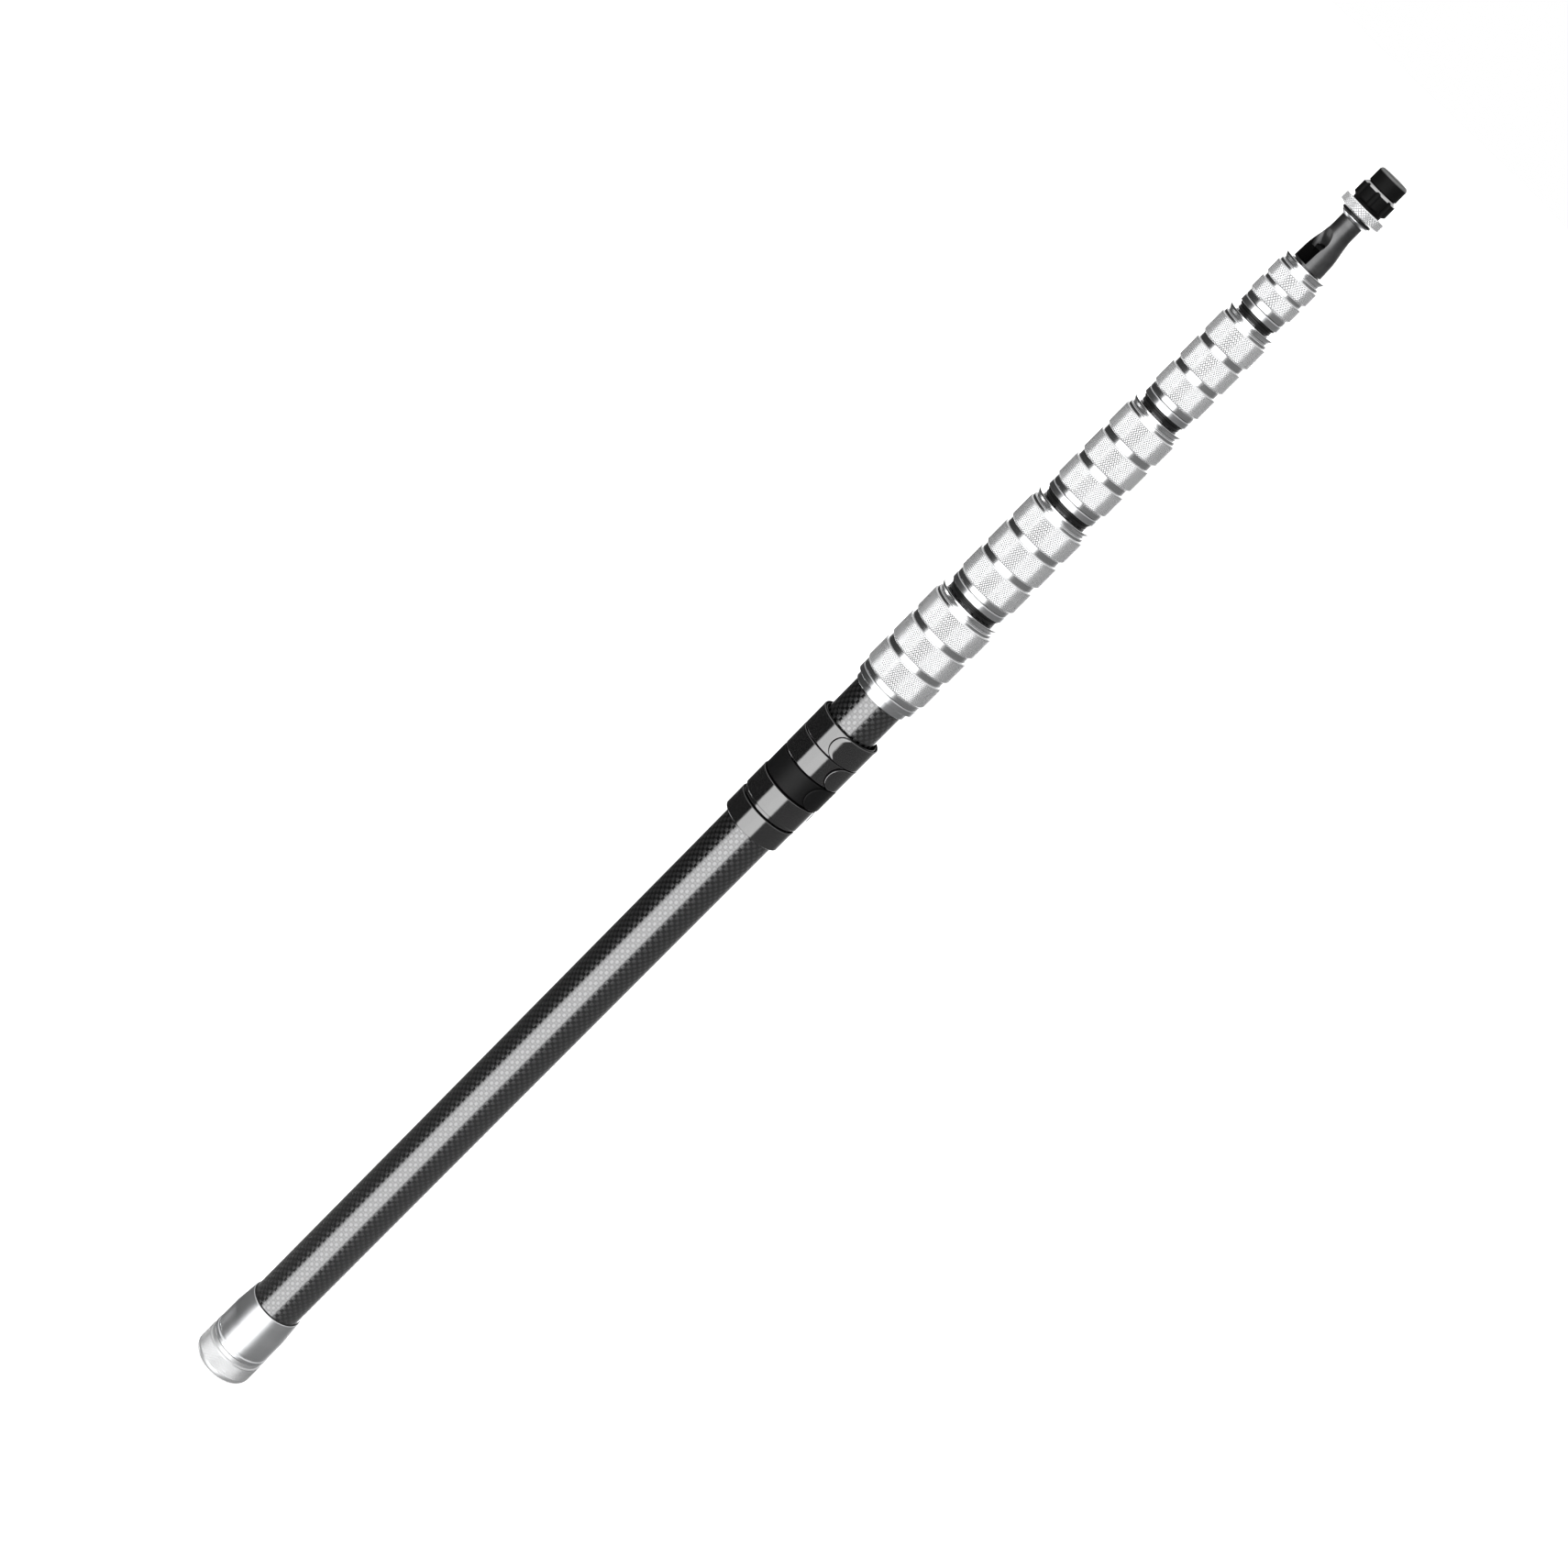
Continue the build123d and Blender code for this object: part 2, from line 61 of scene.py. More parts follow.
# the dull black of painted shade, laid where shade falls
PAINTED_SHADE_BLACK = (0.004, 0.004, 0.004, 1.0)
LOG = logging.getLogger("boom_pole")

Number: TypeAlias = "float | Value"
Outline: TypeAlias = Sequence[tuple[float, float]]
Shape: TypeAlias = Callable[[np.ndarray, np.ndarray, np.ndarray], tuple[np.ndarray, np.ndarray]]


# ---------------------------------------------------------------- sizes read from the frame
@dataclass(frozen=True)
class Extent:
    """A turned CAD node's outer radius, foot and top, in millimetres."""

    radius: float
    foot: float
    top: float

    @classmethod
    def of(cls, node: str) -> "Extent":
        """Reads a node's extent.

        Args:
            node: name of the CAD node.

        Returns:
            Its radius, foot height and top height.
        """
        low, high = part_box(node)
        return cls(max(high.x, high.y) / MM, low.z / MM, high.z / MM)


def tube_radius(section: int) -> float:
    """Outer radius of a section's tube, in millimetres."""
    return Extent.of(f"tube_{section}").radius


def section_body(section: int) -> str:
    """Name of the body that a section's pieces ride on."""
    return "outer" if section == 1 else f"section_{section}"


# ---------------------------------------------------------------- written shader maths
class Value:
    """A number that flows through a shader, so that its maths can be written as an expression."""

    def __init__(self, graph: "Graph", socket: bpy.types.NodeSocket) -> None:
        """Wraps an output socket of one of the graph's nodes."""
        self.graph = graph
        self.socket = socket

    def math(self, operation: str, *others: Number) -> "Value":
        """Adds a Math node with this value as its first input.

        Args:
            operation: the Math node's operation, such as SINE.
            others: its other inputs, as numbers or values.

        Returns:
            The node's result.
        """
        return self.graph.math(operation, self, *others)

    def __add__(self, other: Number) -> "Value":
        """self + other."""
        return self.math("ADD", other)

    def __sub__(self, other: Number) -> "Value":
        """self - other."""
        return self.math("SUBTRACT", other)

    def __rsub__(self, other: Number) -> "Value":
        """other - self."""
        return self.graph.math("SUBTRACT", other, self)

    def __mul__(self, other: Number) -> "Value":
        """self * other."""
        return self.math("MULTIPLY", other)

    def __truediv__(self, other: Number) -> "Value":
        """self / other."""
        return self.math("DIVIDE", other)

    __radd__ = __add__
    __rmul__ = __mul__

    def mix(self, low: Number, high: Number) -> "Value":
        """low where this value is 0, high where it is 1, and their blend between."""
        return self * (high - low) + low


class Graph:
    """A node tree under construction: a material's or the world's."""

    def __init__(self, tree: bpy.types.NodeTree) -> None:
        """Starts from an empty tree."""
        self.tree = tree
        tree.nodes.clear()

    def node(self, kind: str, settings: dict | None = None, inputs: dict | None = None) -> bpy.types.Node:
        """Adds a node.

        Args:
            kind: the node's type name.
            settings: its properties, set before its sockets.
            inputs: socket name or index to a number, a colour, a Value or an output socket.

        Returns:
            The new node.
        """
        node = self.tree.nodes.new(kind)
        for name, setting in (settings or {}).items():
            setattr(node, name, setting)
        for name, given in (inputs or {}).items():
            source = given.socket if isinstance(given, Value) else given
            if isinstance(source, bpy.types.NodeSocket):
                self.tree.links.new(source, node.inputs[name])
            else:
                node.inputs[name].default_value = source
        return node

    def math(self, operation: str, *operands: Number) -> Value:
        """Adds a Math node.

        Args:
            operation: its operation.
            operands: its inputs in order.

        Returns:
            Its result.
        """
        node = self.node("ShaderNodeMath", {"operation": operation}, dict(enumerate(operands)))
        return Value(self, node.outputs[0])

    def step(self, value: Value, start: float, end: float) -> Value:
        """Smooth step: 0 before start, 1 after end, with an even S between. start may exceed end.

        Args:
            value: what the step follows.
            start: the value where the step leaves 0.
            end: the value where it reaches 1.

        Returns:
            The step.
        """
        low, high, first = (start, end, 0.0) if start < end else (end, start, 1.0)
        inputs = {"Value": value, "From Min": low, "From Max": high, "To Min": first, "To Max": 1 - first}
        node = self.node("ShaderNodeMapRange", {"interpolation_type": "SMOOTHSTEP"}, inputs)
        return Value(self, node.outputs[0])

    def noise(self, vector: bpy.types.NodeSocket, scale: float, detail: float = 2.0) -> Value:
        """Noise between about 0 and 1 at a scale per metre."""
        node = self.node("ShaderNodeTexNoise", None, {"Vector": vector, "Scale": scale, "Detail": detail})
        return Value(self, node.outputs[0])

    def stretched(
        self, vector: bpy.types.NodeSocket, scale: tuple[float, float, float]
    ) -> bpy.types.NodeSocket:
        """A position with each axis multiplied by its own factor."""
        node = self.node("ShaderNodeVectorMath", {"operation": "MULTIPLY"}, {0: vector, 1: scale})
        return node.outputs[0]

    def tint(self, amount: Value, dark: Sequence[float], light: Sequence[float]) -> bpy.types.NodeSocket:
        """A colour that runs from dark to light as amount runs from 0 to 1.

        Args:
            amount: the blend, between 0 and 1.
            dark: the colour at 0.
            light: the colour at 1.

        Returns:
            The colour's socket.
        """
        node = self.node("ShaderNodeMix", {"data_type": "RGBA"})
        sockets = {socket.name: socket for socket in node.inputs if socket.enabled}
        self.tree.links.new(amount.socket, sockets["Factor"])
        sockets["A"].default_value = (*dark, 1.0)
        sockets["B"].default_value = (*light, 1.0)
        return next(socket for socket in node.outputs if socket.enabled)


@dataclass(frozen=True)
class Wrapped:
    """A surface point's place on a round pole."""

    position: bpy.types.NodeSocket
    angle: Value
    radius: Value
    height: Value


class Surfacing(Graph):
    """A material's node tree, with the pole's own coordinates and one Principled shader."""

    def __init__(self, name: str) -> None:
        """Makes the material and its empty tree.

        Args:
            name: the material's name.
        """
        self.material = bpy.data.materials.new(name)
        self.material.use_nodes = True
        super().__init__(self.material.node_tree)

    def place(self) -> Wrapped:
        """Reads the point's object coordinates and its angle round the pole.

        Returns:
            Where it lies on the pole.
        """
        position = self.node("ShaderNodeTexCoord").outputs["Object"]
        split = self.node("ShaderNodeSeparateXYZ", None, {0: position}).outputs
        east, north, height = (Value(self, socket) for socket in split)
        radius = (east * east + north * north).math("SQRT")
        return Wrapped(position, self.math("ARCTAN2", north, east), radius, height)

    def attribute(self, name: str) -> Value:
        """Reads a value that the mesh carries at its points."""
        return Value(self, self.node("ShaderNodeAttribute", {"attribute_name": name}).outputs["Fac"])

    def bump(self, height: Value, depth: float) -> bpy.types.NodeSocket:
        """Turns a height between 0 and 1 into a normal, for a relief of the given depth in metres."""
        node = self.node("ShaderNodeBump", None, {"Height": height, "Strength": 1.0, "Distance": depth})
        return node.outputs[0]

    def finish(self, painted_shade: Value | None = None, **sockets: object) -> bpy.types.Material:
        """Adds the Principled shader.

        Args:
            painted_shade: where it is 1, a dull black of painted shade covers the shader.
            sockets: its inputs, with underscores for the spaces in their names.

        Returns:
            The finished material.
        """
        inputs = {name.replace("_", " "): given for name, given in sockets.items()}
        surface = self.node("ShaderNodeBsdfPrincipled", None, inputs).outputs[0]
        if painted_shade is not None:
            black = self.node("ShaderNodeBsdfDiffuse", None, {"Color": PAINTED_SHADE_BLACK}).outputs[0]
            surface = self.node("ShaderNodeMixShader", None, {0: painted_shade, 1: surface, 2: black}).outputs[0]
        self.node("ShaderNodeOutputMaterial", None, {"Surface": surface})
        return self.material


# ---------------------------------------------------------------- finishes
@dataclass(frozen=True)
class TurnedAluminium:
    """Satin anodised aluminium, with fine lathe rings and the haze of handling."""

    name: str = "satin_aluminium"
    dark: tuple[float, float, float] = (0.56, 0.57, 0.58)
    light: tuple[float, float, float] = (0.68, 0.685, 0.695)
    roughness: float = 0.24
    haze: float = 0.08
    ring_depth: float = 0.000004
    metallic: float = 1.0

    def make(self) -> bpy.types.Material:
        """Rings are noise that changes only with height; haze is broad noise in the roughness.

        Returns:
            The material.
        """
        shade = Surfacing(self.name)
        place = shade.place()
        rings = shade.noise(shade.stretched(place.position, (0.0, 0.0, 1.0)), 5200.0, 3.0)
        cloud = shade.noise(place.position, 60.0, 4.0)
        grain = shade.noise(place.position, 4000.0, 2.0)
        tone = shade.step(cloud * 0.7 + grain * 0.3, 0.3, 0.7)
        return shade.finish(
            Base_Color=shade.tint(tone, self.dark, self.light),
            Metallic=self.metallic,
            Roughness=cloud * self.haze + rings * 0.05 + self.roughness,
            Normal=shade.bump(rings, self.ring_depth),
        )


@dataclass(frozen=True)
class KnurledAluminium:
    """Satin aluminium whose knurled bands scatter more light than its plain turned parts."""

    name: str = "knurled_aluminium"
    plain_tone: float = 0.60
    cut_tone: float = 0.57
    groove_shade_tone: float = 0.60
    plain_roughness: float = 0.22
    cut_roughness: float = 0.23
    cut_metallic: float = 0.74
    ring_depth: float = 0.000002

    def make(self) -> bpy.types.Material:
        """Broad noise drifts the tone and the haze, and painted shade darkens the grooves.

        The mesh's attribute "knurled" is 1 on the bands, and "groove" is 1 at the grooves' floors.

        Returns:
            The material.
        """
        shade = Surfacing(self.name)
        place = shade.place()
        knurled, groove = shade.attribute("knurled"), shade.attribute("groove")
        cloud = shade.noise(place.position, 60.0, 4.0)
        rings = shade.noise(shade.stretched(place.position, (0.0, 0.0, 1.0)), 5200.0, 3.0)
        # painted shade: the colour darkens towards the grooves' floors
        groove_shade = groove.mix(1.0, self.groove_shade_tone)
        tone = knurled.mix(self.plain_tone, self.cut_tone) * groove_shade * (cloud * 0.2 + 0.9)
        return shade.finish(
            Base_Color=shade.tint(tone, (0.0, 0.0, 0.0), (1.0, 1.005, 1.015)),
            Metallic=knurled.mix(1.0, self.cut_metallic),
            Roughness=knurled.mix(self.plain_roughness, self.cut_roughness) + cloud * 0.08,
            Normal=shade.bump(rings, self.ring_depth),
        )


@dataclass(frozen=True)
class CastMetal:
    """Dark bead-blasted metal of the head."""

    name: str = "head_casting"
    dark: tuple[float, float, float] = (0.060, 0.060, 0.061)
    light: tuple[float, float, float] = (0.100, 0.100, 0.101)
    roughness: float = 0.34
    grain_depth: float = 0.000012
    window_shade_radius: float = 9.2
    window_shade_top: float = 10.4
    fade: float = 0.3

    def make(self) -> bpy.types.Material:
        """Grain is fine noise in the relief; the tone drifts with broad noise; painted shade blackens the
        cable's way.

        Returns:
            The material.
        """
        shade = Surfacing(self.name)
        place = shade.place()
        grain = shade.noise(place.position, 3000.0, 3.0)
        cloud = shade.noise(place.position, 90.0, 3.0)
        return shade.finish(
            Base_Color=shade.tint(shade.step(cloud, 0.3, 0.7), self.dark, self.light),
            Metallic=0.9,
            Roughness=cloud * 0.12 + self.roughness,
            Normal=shade.bump(grain, self.grain_depth),
            # painted shade: a dull black inside the bore and the window
            painted_shade=self.window_shade(shade, place),
        )

    def window_shade(self, shade: Surfacing, place: Wrapped) -> Value:
        """Where painted shade blackens the cable's way: its bore, and the window's sides up to the ramp.

        The ramp's height is that of the window's roof: it rises evenly towards -Y and falls to each
        side by a round of radius R, R - sqrt(R^2 - past^2), measured square to the ramp.

        Args:
            shade: the material's tree.
            place: the surface point's place.

        Returns:
            1 where painted shade blackens the metal.
        """
        head = Head()
        shoulder = Extent.of("head").foot + head.spigot
        across = (place.radius * place.angle.math("COSINE")).math("ABSOLUTE") / MM
        forward = head.window_near - place.radius * place.angle.math("SINE") / MM
        above = place.height / MM - shoulder
        past = (across - (head.window_half - head.ramp_round)).math("MAXIMUM", 0.0)
        past = past.math("MINIMUM", head.ramp_round)
        drop = head.ramp_round - (head.ramp_round ** 2 - past * past).math("SQRT")
        roof = forward * head.ramp_slope + head.ramp_foot - drop * math.hypot(1, head.ramp_slope)
        under_ramp = shade.step(above - roof, -0.5 * self.fade, -1.5 * self.fade)
        wall = head.window_half
        sides = under_ramp * shade.step(across, wall + 0.8 * self.fade, wall + 0.1 * self.fade)
        bore = shade.step(above, self.window_shade_top + self.fade, self.window_shade_top)
        inside = shade.step(place.radius / MM, self.window_shade_radius + self.fade, self.window_shade_radius)
        return inside * sides.math("MAXIMUM", bore)


@dataclass(frozen=True)
class CarbonWeave:
    """Plain-woven carbon under a clear gloss coat, laid along and round a tube of one radius.

    Between two given heights, where straps cover the tube, painted shade blackens it.
    """

    name: str
    radius: float
    cell: float = 2.5
    relief: float = 0.00004
    resin: tuple[float, float, float] = (0.004, 0.004, 0.004)
    fibre: tuple[float, float, float] = (0.15, 0.15, 0.152)
    lengthwise_tone: float = 1.0
    crosswise_tone: float = 0.54
    lengthwise_roughness: float = 0.38
    crosswise_roughness: float = 0.17
    strap_shade_span: tuple[float, float] | None = None
    strap_shade_fade: float = 0.3

    @property
    def cells_round(self) -> int:
        """Number of cells round the tube, even so that the checks meet at the seam."""
        return 2 * round(math.pi * self.radius / self.cell)

    def make(self) -> bpy.types.Material:
        """Each check is one tow passing over: a half sine across it, lower towards its two ends.

        Returns:
            The material.
        """
        shade = Surfacing(self.name)
        place = shade.place()
        along = place.height / (self.cell * MM)
        across = place.angle * (self.cells_round / FULL_TURN) + self.cells_round
        parity = (along.math("FLOOR") + across.math("FLOOR")).math("FLOORED_MODULO", 2.0)
        rise_along = (along.math("FRACT") * math.pi).math("SINE")
        rise_across = (across.math("FRACT") * math.pi).math("SINE")
        lengthwise = rise_across * (rise_along * 0.5 + 0.5)
        crosswise = rise_along * (rise_across * 0.5 + 0.5)
        height = parity.mix(lengthwise, crosswise)
        streaks = shade.node("ShaderNodeCombineXYZ", None, {0: across * 6.0, 1: along * 0.4})
        cross_streaks = shade.node("ShaderNodeCombineXYZ", None, {0: across * 0.4, 1: along * 6.0})
        lengthwise_fibre = shade.noise(streaks.outputs[0], 1.0, 1.0)
        crosswise_fibre = shade.noise(cross_streaks.outputs[0], 1.0, 1.0)
        fibre = parity.mix(lengthwise_fibre, crosswise_fibre)
        crown = shade.step(height, 0.0, 0.6) * 0.4 + 0.6
        tone = parity.mix(self.lengthwise_tone, self.crosswise_tone) * crown
        # painted shade in the gaps between the straps: a dull black over the tube where they wrap it
        painted_shade = None
        if self.strap_shade_span is not None:
            low, high = self.strap_shade_span
            painted_shade = shade.step(place.height, (low - self.strap_shade_fade) * MM, low * MM)
            painted_shade = painted_shade * shade.step(place.height, (high + self.strap_shade_fade) * MM, high * MM)
        return shade.finish(
            Base_Color=shade.tint(tone * (fibre * 0.3 + 0.85), self.resin, self.fibre),
            Metallic=1.0,
            Roughness=parity.mix(self.lengthwise_roughness, self.crosswise_roughness),
            Normal=shade.bump(height, self.relief),
            Coat_Weight=1.0,
            Coat_Roughness=0.06,
            Coat_IOR=1.5,
            painted_shade=painted_shade,
        )


class StrapSide(Enum):
    """Which side of a strap is outermost: its roughness and its index of refraction."""

    SLICK = (0.04, 2.0)
    NAPPED = (0.45, 1.22)


@dataclass(frozen=True)
class StrapWeb:
    """Black coated strap: fine ribs across its width, slick or napped."""

    name: str
    radius: float
    side: StrapSide
    rib: float = 0.55
    relief: float = 0.000010

    def make(self) -> bpy.types.Material:
        """Ribs are a sine of the arc round the pole, crossed by a finer one of the height; painted shade
        blackens the cut edges.

        Returns:
            The material.
        """
        shade = Surfacing(self.name)
        place = shade.place()
        ribs = (place.angle * (FULL_TURN * self.radius / self.rib)).math("SINE")
        threads = (place.height * (FULL_TURN / (self.rib * 0.7 * MM))).math("SINE")
        nap = shade.noise(place.position, 1500.0, 3.0)
        scuffs = shade.noise(shade.stretched(place.position, (0.35, 0.35, 1.0)), 1300.0, 2.0)
        edge = shade.attribute("edge")
        weave = ribs * threads * 0.5 + 0.5
        roughness, index = self.side.value
        return shade.finish(
            Base_Color=shade.tint(weave * nap, (0.002, 0.002, 0.002), (0.010, 0.010, 0.0105)),
            Roughness=nap * 0.03 + scuffs * 0.07 + roughness,
            Normal=shade.bump(weave * 0.4 + scuffs, self.relief),
            IOR=index,
            # painted shade: a dull black over the cut edges and in the gaps between straps
            painted_shade=edge,
        )


@dataclass(frozen=True)
class BlackSurface:
    """A plain black material: rubber, nylon or black anodising."""

    name: str
    roughness: float
    shade_low: float = 0.004
    shade_high: float = 0.010
    specular: float = 0.22
    grain: float = 1800.0
    grain_depth: float = 0.000010
    bare_and_sheen: float = 0.36

    def make(self) -> bpy.types.Material:
        """Tone, roughness and relief all follow one fine noise, with a broad one for handling.

        Where the mesh's attribute "bare_and_sheen" is 1, the black is cut back to metal; a weaker share of
        it on the nose's round corner is a painted highlight.

        Returns:
            The material.
        """
        shade = Surfacing(self.name)
        place = shade.place()
        grain = shade.noise(place.position, self.grain, 3.0)
        cloud = shade.noise(place.position, 120.0, 3.0)
        bare_and_sheen = shade.attribute("bare_and_sheen")
        black = grain * (self.shade_high - self.shade_low) + self.shade_low
        return shade.finish(
            Base_Color=shade.tint(bare_and_sheen.mix(black, self.bare_and_sheen), (0.0, 0.0, 0.0), (1.0, 1.0, 1.0)),
            Metallic=bare_and_sheen,
            Roughness=bare_and_sheen.mix(cloud * 0.10 + grain * 0.05 + self.roughness, 0.34),
            Normal=shade.bump(grain, self.grain_depth),
            Specular_IOR_Level=self.specular,
        )


@dataclass(frozen=True)
class ThreadedSteel:
    """Zinc-plated steel with a thread drawn in relief."""

    name: str = "stud_steel"
    pitch: float = 1.5875
    thread_depth: float = 0.0009

    def make(self) -> bpy.types.Material:
        """The thread is a triangle wave of the height less the angle's share of one pitch.

        Returns:
            The material.
        """
        shade = Surfacing(self.name)
        place = shade.place()
        turns = place.height / (self.pitch * MM) - place.angle / FULL_TURN
        flank = shade.math("PINGPONG", turns, 0.5) * 2.0
        cloud = shade.noise(place.position, 400.0, 3.0)
        return shade.finish(
            Base_Color=shade.tint(cloud, (0.38, 0.37, 0.35), (0.55, 0.54, 0.52)),
            Metallic=1.0,
            Roughness=cloud * 0.15 + 0.28,
            Normal=shade.bump(flank, self.thread_depth),
        )


# ---------------------------------------------------------------- surfaces
@dataclass
class Surface:
    """A mesh as arrays: points in metres, faces, and named values at its points."""

    points: np.ndarray
    quads: np.ndarray = field(default_factory=lambda: np.zeros((0, 4), int))
    triangles: np.ndarray = field(default_factory=lambda: np.zeros((0, 3), int))
    attributes: dict[str, np.ndarray] = field(default_factory=dict)

    def to_object(
        self, name: str, material: bpy.types.Material, crease: float = 32.0, weld: bool = False
    ) -> bpy.types.Object:
        """Makes the Blender object.

        Args:
            name: name of the object and its mesh.
            material: its one material.
            crease: edges sharper than this angle in degrees are shaded sharp.
            weld: merges points that coincide, which closes poles and tapered ends.

        Returns:
            The object, linked to the scene, at the origin.
        """
        mesh = bpy.data.meshes.new(name)
        corners = np.concatenate([self.quads.ravel(), self.triangles.ravel()])
        starts = np.concatenate([
            np.arange(len(self.quads)) * 4,
            len(self.quads) * 4 + np.arange(len(self.triangles)) * 3,
        ])
        mesh.vertices.add(len(self.points))
        mesh.vertices.foreach_set("co", self.points.astype(np.float32).ravel())
        mesh.loops.add(len(corners))
        mesh.loops.foreach_set("vertex_index", corners.astype(np.int32))
        mesh.polygons.add(len(starts))
        mesh.polygons.foreach_set("loop_start", starts.astype(np.int32))
        mesh.update(calc_edges=True)
        mesh.validate()
        for label, values in self.attributes.items():
            mesh.attributes.new(label, "FLOAT", "POINT").data.foreach_set("value", values.astype(np.float32))
        if weld:
            weld_points(mesh)
        mesh.shade_smooth()
        mesh.set_sharp_from_angle(angle=math.radians(crease))
        mesh.materials.append(material)
        made = bpy.data.objects.new(name, mesh)
        bpy.context.scene.collection.objects.link(made)
        return made


def weld_points(mesh: bpy.types.Mesh, distance: float = 1e-7) -> None:
    """Merges points closer than a distance, which also turns collapsed quads into triangles.

    Args:
        mesh: the mesh, changed in place.
        distance: the distance in metres.
    """
    work = bmesh.new()
    work.from_mesh(mesh)
    bmesh.ops.remove_doubles(work, verts=work.verts, dist=distance)
    bmesh.ops.dissolve_degenerate(work, edges=work.edges, dist=distance)
    work.to_mesh(mesh)
    work.free()


def recalculate_normals(mesh: bpy.types.Mesh) -> None:
    """Turns a closed mesh's faces outwards.

    Args:
        mesh: the mesh, changed in place.
    """
    work = bmesh.new()
    work.from_mesh(mesh)
    bmesh.ops.recalc_face_normals(work, faces=work.faces)
    work.to_mesh(mesh)
    work.free()


def grid_quads(rows: int, columns: int, closed_rows: bool) -> np.ndarray:
    """Quads of a grid whose columns run round the pole and whose rows run along an outline.

    Args:
        rows: number of rows.
        columns: number of columns, the last of which meets the first.
        closed_rows: whether the last row meets the first.

    Returns:
        An array of point indices, four to a quad, in an order that faces outwards.
    """
    spans = rows if closed_rows else rows - 1
    row, column = np.meshgrid(np.arange(spans), np.arange(columns), indexing="ij")
    next_row, next_column = (row + 1) % rows, (column + 1) % columns
    corners = (
        row * columns + column, row * columns + next_column,
        next_row * columns + next_column, next_row * columns + column,
    )
    return np.stack([corner.ravel() for corner in corners], axis=1)


def rounded(outline: Outline, radius: float, closed: bool = True, steps: int = 4) -> np.ndarray:
    """Rounds an outline's corners and adds a support point on each side of them.

    Each corner P between neighbours becomes the quadratic curve (1-u)^2 A + 2u(1-u) P + u^2 B, where
    A and B lie a trim length along its two sides, at most 0.4 of the shorter side.

    Args:
        outline: (radius, height) points in millimetres.
        radius: trim length of the corners in millimetres.
        closed: whether the last point joins the first. An open outline keeps its two ends.
        steps: number of spans on each corner's curve.

    Returns:
        An array of (radius, height) points.
    """
    points = np.asarray(outline, float)
    before, after = np.roll(points, 1, axis=0) - points, np.roll(points, -1, axis=0) - points
    sides = np.stack([np.linalg.norm(before, axis=1), np.linalg.norm(after, axis=1)], axis=1)
    trim = np.minimum(radius, 0.4 * sides.min(axis=1))[:, None]
    start, end = points + before / sides[:, :1] * trim, points + after / sides[:, 1:] * trim
    share = np.linspace(0, 1, steps + 1)[None, :, None]
    curve = (1 - share) ** 2 * start[:, None] + 2 * share * (1 - share) * points[:, None]
    curve = curve + share ** 2 * end[:, None]
    support = 0.3 * trim
    lead = (start + before / sides[:, :1] * support)[:, None]
    tail = (end + after / sides[:, 1:] * support)[:, None]
    spans = np.concatenate([lead, curve, tail], axis=1)
    if closed:
        return spans.reshape(-1, 2)
    return np.concatenate([points[:1], spans[1:-1].reshape(-1, 2), points[-1:]])


def faces_outwards(outline: np.ndarray) -> np.ndarray:
    """Puts an outline in the order whose turned surface faces outwards, by its signed area.

    Args:
        outline: closed (radius, height) points.

    Returns:
        The same points in that order.
    """
    r, z = outline[:, 0], outline[:, 1]
    area = np.sum(r * np.roll(z, -1) - np.roll(r, -1) * z)
    return outline if area > 0 else outline[::-1]


def turned(
    outline: np.ndarray, columns: int = 192, angles: np.ndarray | None = None, shape: Shape | None = None
) -> Surface:
    """Turns an outline about the pole's axis.

    Point (i, j) is (r_i cos a_j, r_i sin a_j, z_i), with r and z first passed through shape.

    Args:
        outline: closed (radius, height) points in millimetres. It may touch the axis.
        columns: number of even steps round the pole.
        angles: the steps' angles, if they aren't even.
        shape: changes the grids of radius and height, given those and the grid of angles.

    Returns:
        The surface.
    """
    outline = faces_outwards(outline)
    turn = np.arange(columns) * FULL_TURN / columns if angles is None else angles
    radius, angle = np.meshgrid(outline[:, 0], turn, indexing="ij")
    height = np.repeat(outline[:, 1:], len(turn), axis=1)
    if shape is not None:
        radius, height = shape(radius, height, angle)
    points = np.stack([radius * np.cos(angle), radius * np.sin(angle), height], axis=-1) * MM
    return Surface(points.reshape(-1, 3), grid_quads(len(outline), len(turn), True))


